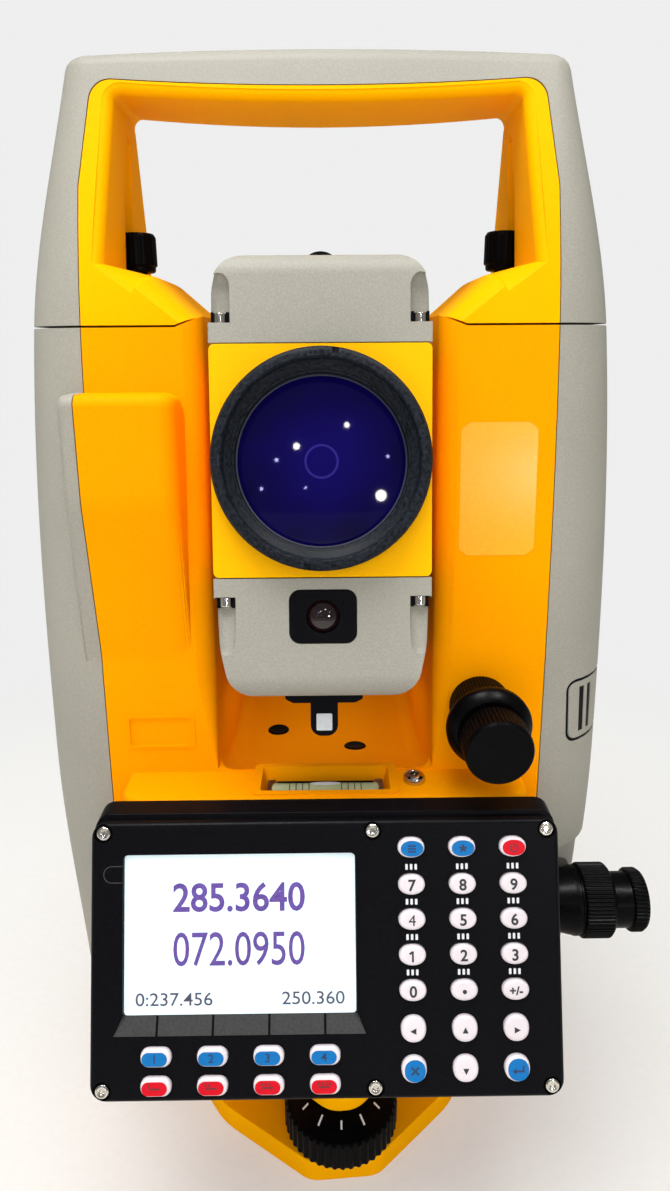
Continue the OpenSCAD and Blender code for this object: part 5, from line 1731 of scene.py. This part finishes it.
    def coloured_key(self, node: str, place: Flat, size: Flat, slot: str, mark: Solid) -> None:
        """Builds a white key with a printed inlay and its mark.

        Args:
            node: Node and body of the key.
            place: Centre on the panel.
            size: Width and height, those of a pill for a key with straight sides.
            slot: Material slot of the inlay, blue or red.
            mark: The mark, flat and centred.
        """
        w, h = size
        x, s = place
        inlay, ink = (BLUE_KEY, INK_NAVY) if slot == "blue_key" else (RED_KEY, INK_MAROON)
        if size == self.pill_key:
            key = self.key_form(node + "_rubber", lambda inset: rect(
                w - 2 * inset, h - 2 * inset, 0.46 * (h - 2 * inset), place, 8))
            middle = (x - 0.3, s - 0.25)
            flat = stadium(w - 1.5, h - 1.5, middle)
        else:
            key = self.oval_key(node + "_rubber", place, size, 2.15)
            middle = (x + 0.2, s - 0.2)
            flat = oval(w - 1.25, h - 1.3, middle, 2.15)
        key.move(PANEL).piece(WHITE_KEY, node, "white_key", [node], 0)
        face = Solid.prism(node + "_inlay", flat, "z", self.key_top - 0.2, self.key_top + 0.05)
        face.move(PANEL).piece(inlay, node, slot, (), 0.05, 1)
        mark.shift(*middle, self.key_top + 0.08).move(PANEL).piece(ink, node, "black_plastic", (), 0)

    def function_keys(self) -> None:
        """Builds the two rows of function keys below the display."""
        for i in range(4):
            x = self.fkey_x + i * self.fkey_pitch
            blue, red = f"blue_key_{i + 1}", f"red_key_{i + 1}"
            figure = Solid.digits(blue + "_figure", str(i + 1), 2.3, INK_T, 0.03)
            self.coloured_key(blue, (x, self.blue_s), self.pill_key, "blue_key", figure)
            bar = Solid.mark(red + "_mark", rect(3.2, 0.5, 0.2))
            bar.gather(*[Solid.mark("tick", rect(0.5, 0.9, 0.2, (-1.6 + k * 1.06, 0.9)))
                         for k in range(i + 1)])
            self.coloured_key(red, (x, self.red_s), self.pill_key, "red_key", bar)

    def ring_mark(self, name: str, r: float, line: float) -> Solid:
        """Builds a ring that is open at the top for an upright stroke.

        Args:
            name: Name of the solid.
            r: Outer radius.
            line: Width of the line.

        Returns:
            The solid.
        """
        mark = Solid.mark(name, oval(2 * r, 2 * r))
        mark.take(Solid.prism("inside", oval(2 * (r - line), 2 * (r - line)), "z", -1, 1),
                  Solid.block("gap", (-0.45, 0, -1), (0.45, 3, 1)))
        return mark.gather(Solid.mark("stroke", rect(0.4, 1.5, 0.15, (0, r - 0.5))))

    def arrow(self, name: str, way: Flat, size: float) -> Solid:
        """Builds a small triangle that points one way.

        Args:
            name: Name of the solid.
            way: Direction.
            size: Height of the triangle.

        Returns:
            The solid.
        """
        x, y = way
        tip, back, side = 0.6 * size, 0.4 * size, 0.5 * size
        return Solid.mark(name, [
            (x * tip, y * tip), (-x * back - y * side, -y * back + x * side),
            (-x * back + y * side, -y * back - x * side)])

    def command_keys(self) -> None:
        """Builds the top row, the arrow keys and the two keys beside the lower arrow."""
        a, b, c = self.columns
        menu = Solid.gathered(
            Solid.mark("menu_key_mark", rect(2.4, 0.4, 0.15, (0, s))) for s in (0.8, 0.0, -0.8))
        reach = [1.4 if k % 2 == 0 else 0.6 for k in range(10)]
        star = [(r * math.sin(math.pi * k / 5), r * math.cos(math.pi * k / 5)) for k, r in enumerate(reach)]
        self.coloured_key("menu_key", (a, self.top_s), self.small_key, "blue_key", menu)
        self.coloured_key("star_key", (b, self.top_s), self.small_key, "blue_key",
                          Solid.mark("star_key_mark", star))
        self.coloured_key("power_key", (c, self.top_s), self.small_key, "red_key",
                          self.ring_mark("power_key_mark", 1.2, 0.35))
        cross = Solid.mark("escape_key_mark", rect(3.0, 0.55, 0.2))
        cross.join(Solid.mark("stroke", rect(0.55, 3.0, 0.2)))
        cross.move(Matrix.Rotation(math.radians(45), 4, "Z"))
        back = Solid.mark("enter_key_mark", [
            (-1.7, -0.4), (-0.7, 0.5), (-0.7, -0.15), (1.1, -0.15), (1.1, 1.1), (1.6, 1.1), (1.6, -0.65),
            (-0.7, -0.65), (-0.7, -1.3)])
        self.coloured_key("escape_key", (a, self.low_s), self.tall_key, "blue_key", cross)
        self.coloured_key("enter_key", (c, self.low_s), self.tall_key, "blue_key", back)
        for node, x, s, way in (("left_key", a, self.arrow_s, (-1, 0)), ("up_key", b, self.arrow_s, (0, 1)),
                                ("right_key", c, self.arrow_s, (1, 0)), ("down_key", b, self.low_s, (0, -1))):
            key = self.oval_key(node + "_rubber", (x, s), self.tall_key, 2.2)
            key.move(PANEL).piece(WHITE_KEY, node, "white_key", [node], 0)
            mark = self.arrow(node + "_mark", way, 1.7).shift(x, s - 0.4, self.key_top + 0.02)
            mark.move(PANEL).piece(INK_DARK, node, "black_plastic", (), 0)

    def marks(self) -> None:
        """Builds the small printed marks above the number keys."""
        marks = Solid.gathered(
            Solid.prism("key_row_marks", rect(0.7, 1.6, 0.2, (x + 1.3 * k, row + 4.75)), "z", 0.0, 0.05)
            for row in self.number_rows for x in self.columns for k in (-1, 0, 1))
        marks.move(PANEL).piece(INK_WHITE, "alidade", "white_key", (), 0)


@dataclass
class Controls:
    """Coaxial clamp and tangent knobs, and the plate level on the deck."""

    v_clamp: Flat = (48.0, 172.4)
    vial_place: Flat = (-61.2, -4.0)
    vial_r: float = 3.9
    cradle_x: float = 16.6
    bubble_half_l: float = 5.2
    lines: tuple[int, ...] = (-11, -9, -7, -5, 5, 7, 9, 11)

    def knob_pair(self, kind: str, place: Matrix, collar: Sequence[Flat], ribs: tuple[int, int],
                  tangent: Sequence[Flat], tangent_ribs: tuple[int, int]) -> None:
        """Builds a clamp collar with its tangent knob in front.

        Args:
            kind: "vertical" or "horizontal".
            place: Foot of the axis, z along it.
            collar: Profile of the clamp collar.
            ribs: Points of the collar's profile that carry ribs.
            tangent: Profile of the tangent knob.
            tangent_ribs: Points of the tangent knob's profile that carry ribs.
        """
        for form, part, profile, count, ribbed in (
                ("_clamp_collar", "_clamp_knob", collar, 60, ribs),
                ("_tangent_grip", "_tangent_knob", tangent, 50, tangent_ribs)):
            node = kind + part
            knob = Solid.spin(kind + form, profile, ribs=count, depth=0.4, ribbed=ribbed)
            knob.move(place).piece(KNOB, node, "black_plastic", [node], 0.12)

    def build(self) -> None:
        """Builds the knobs and the plate level."""
        x, z = self.v_clamp
        self.knob_pair(
            "vertical", facing((x, -CASING.depth(z), z), (0, -1, 0)),
            [(3.1, -14), (5.0, -14), (5.0, 0.4), (9.2, 0.4), (9.4, 1.0), (9.4, 12.6), (9.9, 13.2),
             (11.9, 14.6), (12.5, 15.6), (12.6, 17.2), (12.2, 18.4), (10.6, 20.0), (9.8, 20.4), (9.4, 20.2),
             (3.1, 20.2)], (4, 5),
            [(0, -18), (3.0, -18), (3.0, 20.8), (8.6, 20.8), (8.6, 22.2), (9.2, 22.5), (9.7, 23.0),
             (9.7, 31.2), (9.6, 32.0), (9.2, 32.8), (8.8, 33.0), (8.4, 32.8), (0, 32.7)], (6, 7))
        y, z = LAYOUT.h_clamp
        self.knob_pair(
            "horizontal", facing((LAYOUT.chin_half_w, y, z), (1, 0, 0)),
            [(3.1, -14), (5.0, -14), (5.0, 0.5), (8.9, 0.5), (8.9, 12.4), (9.6, 12.6), (10.8, 18.0),
             (11.1, 18.6), (11.1, 20.0), (10.6, 20.3), (10.6, 20.8), (11.5, 21.1), (11.9, 21.6), (11.9, 29.9),
             (10.9, 30.8), (10.2, 31.0), (3.1, 31.0)], (12, 13),
            [(0, -18), (3.0, -18), (3.0, 31.4), (8.9, 31.4), (8.9, 36.9), (9.7, 37.2), (10.1, 37.6),
             (10.1, 40.7), (9.3, 41.8), (8.9, 42.0), (0, 42.0)], (6, 7))
        self.plate_level()

    def plate_level(self) -> None:
        """Builds the tubular level: cradle, vial, bubble and division lines."""
        y, drop = self.vial_place
        axis = facing((0, y, LAYOUT.deck_z + drop), (1, 0, 0))
        low, high = LAYOUT.deck_z - 7.9, LAYOUT.deck_z - 0.9
        ends = Solid.gathered(
            Solid.prism("plate_level_cradle", rect(2.6, 8.6, 0.8, (x, y)), "z", low, high)
            for x in (-self.cradle_x, self.cradle_x))
        ends.piece(STEEL, "alidade", "machined_steel", (), 0.3)
        r = self.vial_r
        tube = [(0, -16.5), (r - 0.6, -16.5), (r, -15.8), (r, 15.8), (r - 0.6, 16.5), (0, 16.5)]
        Solid.spin("plate_level_vial", tube, 48).move(axis).piece(
            VIAL, "alidade", "vial_glass", ["plate_level"], 0.1)
        half = self.bubble_half_l
        turns = [math.pi * k / 16 for k in range(17)]
        bubble = Solid.spin("plate_level_bubble", [
            (half * math.sin(a) ** 0.35 * 0.28, -half * math.cos(a)) for a in turns], 24)
        bubble.move(Matrix.Translation((0, 0.6, r - 1.1)) @ axis)
        bubble.piece(SIGHT_PLATE, "alidade", "vial_glass", (), 0)
        # Black half sleeve behind the vial: a painted shade line along its rear edge
        shade_sleeve = Solid.spin("plate_level_shade_sleeve", [
            (r + 0.1, -15), (r + 0.5, -15), (r + 0.5, 15), (r + 0.1, 15)], 48)
        shade_sleeve.move(axis).keep(Solid.block("rear", (-20, y + 1.2, 100), (20, y + 20, 200)))
        shade_sleeve.piece(BLACK, "alidade", "black_plastic", (), 0)
        lines = Solid.gathered(
            Solid.spin("plate_level_lines", [
                (r, k - 0.14), (r + 0.05, k - 0.14), (r + 0.05, k + 0.14), (r, k + 0.14)], 48).move(axis)
            for k in self.lines)
        lines.piece(INK_DARK, "alidade", "black_plastic", (), 0)


@dataclass
class Tribrach:
    """Levelling base: plate, three-eared body, foot screws, level and lock."""

    ticks: int = 12
    tick_r: float = 14.2
    cone_top_r: float = 12.0
    foot_r: float = 4.5
    stem_r: float = 5.4
    ribs: int = 44
    rib_d: float = 0.6

    def build(self) -> None:
        """Dresses the base and builds its foot screws."""
        dress("base_plate", LIT_YELLOW, 1.0, 3)
        dress("tribrach_body", LIT_YELLOW, 0.9, 3)
        dress("instrument_base", GREY, 0.6)
        dress("azimuth_spindle", STEEL, 0.3)
        dress("horizontal_circle", CIRCLE, 0.2)
        dress("lock_lever", BLACK, 0.8, 3)
        dress("circular_level", VIAL, 0.3)
        for node in ("foot_screw_front", "foot_screw_left", "foot_screw_right"):
            self.foot_screw(node)

    def foot_screw(self, node: str) -> None:
        """Builds one ribbed foot screw with white division lines on its cone.

        Args:
            node: Node and body of the screw.
        """
        low, high = [Vector(c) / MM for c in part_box(node)]
        x, y = (low.x + high.x) / 2, (low.y + high.y) / 2
        r = (high.x - low.x) / 2
        z = frame_sizes(node)
        foot, stem, cone = self.foot_r, self.stem_r, self.cone_top_r
        profile = [(0, low.z), (foot, low.z), (foot, z[0]), (r - 1.6, z[0]), (r, z[0] + 1.2), (r, z[1] - 0.8),
                   (r - 1.0, z[1]), (r - 2.0, z[1] + 0.3), (cone, z[2]), (stem, z[2]), (stem, high.z),
                   (0, high.z)]
        knob = Solid.spin(node + "_grip", profile, ribs=self.ribs, depth=self.rib_d, ribbed=(4, 5))
        knob.shift(x, y).piece(KNOB, node, "black_plastic", [node], 0.25)
        marks: list[Solid] = []
        slope = math.atan2(z[2] - z[1] - 0.3, cone - (r - 2.0))
        for k in range(self.ticks):
            angle = 2 * math.pi * k / self.ticks
            length = 3.4 if k % 2 == 0 else 2.6
            tick = Solid.prism(node + "_ticks", rect(length, 0.6, 0.1), "z", -0.1, 0.15)
            tick.move(Matrix.Rotation(math.pi - slope, 4, "Y"))
            tick.shift(self.tick_r, 0, z[2] + (self.tick_r - cone) * math.tan(slope))
            marks.append(tick.move(Matrix.Translation((x, y, 0)) @ Matrix.Rotation(angle, 4, "Z")))
        Solid.gathered(marks).piece(INK_WHITE, node, "white_key", (), 0)


def frame_sizes(node: str) -> Spot:
    """Reads the heights of a foot screw's rim and cone from its packed form.

    Args:
        node: Node of the frame.

    Returns:
        Underside of the rim, top of the rim and top of the cone.
    """
    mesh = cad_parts[node].data
    low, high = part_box(node)
    centre = ((low.x + high.x) / 2, (low.y + high.y) / 2)
    full = (high.x - low.x) / 2

    def reach(v: bpy.types.MeshVertex) -> float:
        """Gives a point's distance from the screw's axis."""
        return math.hypot(v.co.x - centre[0], v.co.y - centre[1])

    rim = [v.co.z / MM for v in mesh.vertices if reach(v) > full - 0.3 * MM]
    cone = [v.co.z / MM for v in mesh.vertices if abs(reach(v) - full * 0.6) < 0.1 * MM]
    return (min(rim), max(rim), max(cone))


@dataclass
class Studio:
    """Camera at the photograph's place, soft light and a pale floor."""

    place: Spot = (1.48, -278.0, 279.0)
    pitch: float = 17.44
    yaw: float = 0.494
    roll: float = -0.370
    lens: float = 24.06
    pale: str = "#EEEFEE"
    even_light: float = 0.5
    gloss_light: float = 0.25
    floor_rs: tuple[float, ...] = (0.05, 0.3, 1.0, 4.0, 18.0)
    floor_steps: int = 64
    lens_curve: float = 115.6
    lens_front: float = 71.0
    glints: tuple[Spot, ...] = ((15.6, -8.9, 3.4), (6.7, 9.4, 1.6), (-6.5, 4.0, 2.0), (-11.8, 0.5, 1.1),
                                (-15.9, -6.9, 1.0), (17.4, 1.3, 0.9), (-4.3, -6.8, 0.7))

    def camera(self) -> None:
        """Places the camera."""
        data = bpy.data.cameras.new("camera")
        data.lens = self.lens
        data.sensor_width = 36
        data.sensor_fit = "AUTO"
        data.clip_start = 0.01
        data.clip_end = 50
        obj = bpy.data.objects.new("camera", data)
        p, y, r = (math.radians(a) for a in (self.pitch, self.yaw, self.roll))
        ahead = Vector((math.sin(y) * math.cos(p), math.cos(y) * math.cos(p), -math.sin(p)))
        right = Vector((math.cos(y), -math.sin(y), 0))
        up = right.cross(ahead)
        across = right * math.cos(r) + up * math.sin(r)
        upright = -right * math.sin(r) + up * math.cos(r)
        turn = Matrix((across, upright, -ahead)).transposed().to_4x4()
        obj.matrix_world = Matrix.Translation(Vector(self.place) * MM) @ turn
        bpy.context.scene.collection.objects.link(obj)
        bpy.context.scene.camera = obj

    def lamp(self, name: str, place: Spot, aim: Spot, size: float, watts: float,
             glossy: bool = True) -> bpy.types.Object:
        """Places a soft square lamp.

        Args:
            name: Name of the lamp.
            place: Place in metres.
            aim: Point that it faces, in metres.
            size: Side of the square in metres.
            watts: Power.
            glossy: Whether gloss shows it.

        Returns:
            The lamp.
        """
        data = bpy.data.lights.new(name, "AREA")
        data.shape = "SQUARE"
        data.size = size
        data.energy = watts
        obj = bpy.data.objects.new(name, data)
        obj.location = place
        obj.rotation_euler = (Vector(aim) - Vector(place)).to_track_quat("-Z", "Y").to_euler()
        obj.visible_glossy = glossy
        bpy.context.scene.collection.objects.link(obj)
        return obj

    def glint(self, name: str, across: float, up: float, size: float) -> None:
        """Places a small lamp so that the objective mirrors it at a chosen spot.

        Args:
            name: Name of the lamp.
            across: Spot on the lens, in millimetres to the right of its middle.
            up: Spot on the lens, in millimetres above its middle.
            size: Width of the mirrored spot in millimetres.
        """
        bulge, front = self.lens_curve, self.lens_front
        spot = Vector((across, bulge - front - math.sqrt(bulge ** 2 - across ** 2 - up ** 2), up))
        normal = (SCOPE.to_3x3() @ (spot - Vector((0, bulge - front, 0)))).normalized()
        spot = SCOPE @ spot
        ray = (spot - Vector(self.place)).normalized()
        away = spot * MM + (ray - 2 * ray.dot(normal) * normal)
        lamp = self.lamp(name, tuple(away), tuple(spot * MM), size / 50, 0.09 * size ** 2)
        lamp.data.shape = "DISK"
        lamp.data.color = (1.0, 0.97, 0.92) if size > 1.2 else (0.5, 0.5, 1.0)
        lamp.visible_diffuse = False

    def world(self) -> None:
        """Makes a pale surround that the camera, gloss and glass see, and a softer even light."""
        world = bpy.data.worlds.new("surround")
        bpy.context.scene.world = world
        world.use_nodes = True
        tree = world.node_tree
        tree.nodes.clear()
        path = add(tree, "ShaderNodeLightPath")
        even = add(tree, "ShaderNodeBackground", {"Color": linear("#FFFFFF"), "Strength": self.even_light})
        pale = add(tree, "ShaderNodeBackground", {"Color": linear(self.pale), "Strength": 1.0})
        dim = add(tree, "ShaderNodeBackground", {"Color": linear(self.pale), "Strength": self.gloss_light})
        gloss = add(tree, "ShaderNodeMixShader", {
            0: path.outputs["Is Glossy Ray"], 1: even.outputs[0], 2: dim.outputs[0]})
        mixed = add(tree, "ShaderNodeMixShader", {
            0: direct_view(tree), 1: gloss.outputs[0], 2: pale.outputs[0]})
        add(tree, "ShaderNodeOutputWorld", {"Surface": mixed.outputs[0]})

    def floor(self) -> None:
        """Lays a pale floor that keeps the shadow near the base and fades into the surround."""
        bm = bmesh.new()
        n = self.floor_steps
        turns = [2 * math.pi * k / n for k in range(n)]
        rings = [[bm.verts.new((r * math.cos(a), r * math.sin(a), 0)) for a in turns] for r in self.floor_rs]
        bm.faces.new(rings[0])
        for low, high in zip(rings, rings[1:]):
            for k in range(n):
                bm.faces.new((low[k], high[k], high[(k + 1) % n], low[(k + 1) % n]))
        mesh = bpy.data.meshes.new("floor")
        bm.to_mesh(mesh)
        bm.free()
        obj = bpy.data.objects.new("floor", mesh)
        made = fresh("matt_paper_pale", self.pale)
        tree = made.node_tree
        place = add(tree, "ShaderNodeTexCoord")
        far = add(tree, "ShaderNodeVectorMath", {0: place.outputs["Object"]}, operation="LENGTH")
        fade = add(tree, "ShaderNodeMapRange", {
            "Value": far.outputs["Value"], "From Min": 0.10, "From Max": 0.5, "To Min": 0.35, "To Max": 1.0},
            interpolation_type="SMOOTHSTEP")
        fibre = add(tree, "ShaderNodeTexNoise", {"Vector": place.outputs["Object"], "Scale": 1 / (3 * MM)})
        tone = add(tree, "ShaderNodeMix", {
            0: fibre.outputs["Fac"], 6: linear("#E6E2DC"), 7: linear("#EFECE7")}, data_type="RGBA")
        paper = add(tree, "ShaderNodeBsdfDiffuse", {"Color": tone.outputs[2]})
        pale = add(tree, "ShaderNodeEmission", {"Color": linear(self.pale), "Strength": 1.0})
        share = add(tree, "ShaderNodeMath", {
            0: direct_view(tree), 1: fade.outputs[0]}, operation="MULTIPLY")
        mixed = add(tree, "ShaderNodeMixShader", {
            0: share.outputs[0], 1: paper.outputs[0], 2: pale.outputs[0]})
        add(tree, "ShaderNodeOutputMaterial", {"Surface": mixed.outputs[0]})
        mesh.materials.append(made)
        bpy.context.scene.collection.objects.link(obj)

    def build(self) -> None:
        """Sets up the camera, the light and the floor."""
        self.camera()
        self.world()
        self.floor()
        self.lamp("overhead_softbox", (-0.12, -0.22, 1.1), (0, 0, 0.2), 0.75, 11.0, glossy=False)
        for name, place, size, watts in (("ceiling_lamp", (-0.2, -0.3, 1.3), 0.16, 16.0),
                                         ("right_lamp", (0.45, -0.38, 1.25), 0.14, 12.0)):
            self.lamp(name, place, (0, 0, 0.2), size, watts).visible_diffuse = False
        self.lamp("front_fill", (0.1, -1.1, 0.78), (0, 0, 0.15), 0.7, 2.6, glossy=False)
        under = self.lamp("trough_fill", (0, -0.008, 0.168), (0, -0.02, 0.1), 0.05, 0.006, glossy=False)
        under.visible_camera = False
        self.lamp("low_fill", (-0.1, -1.2, 0.35), (0, 0, 0.15), 0.8, 2.2, glossy=False)
        for k, (across, up, size) in enumerate(self.glints):
            self.glint(f"small_lamp_{k}", across, up, size)
        bpy.context.scene.view_settings.view_transform = "Standard"


def main() -> None:
    """Builds the camera and light, then each sub-assembly in order."""
    logging.basicConfig(level=logging.INFO, format="%(message)s")
    Studio().build()
    for part in (Tribrach(), Handle(), Telescope(), Keyboard(), Controls()):
        part.build()
        LOG.info("built %s", type(part).__name__)
    alidade = Alidade()
    alidade.dress_frame()
    alidade.dress_covers()
    LOG.info("built %s", type(alidade).__name__)


if __name__ == "__main__":
    main()
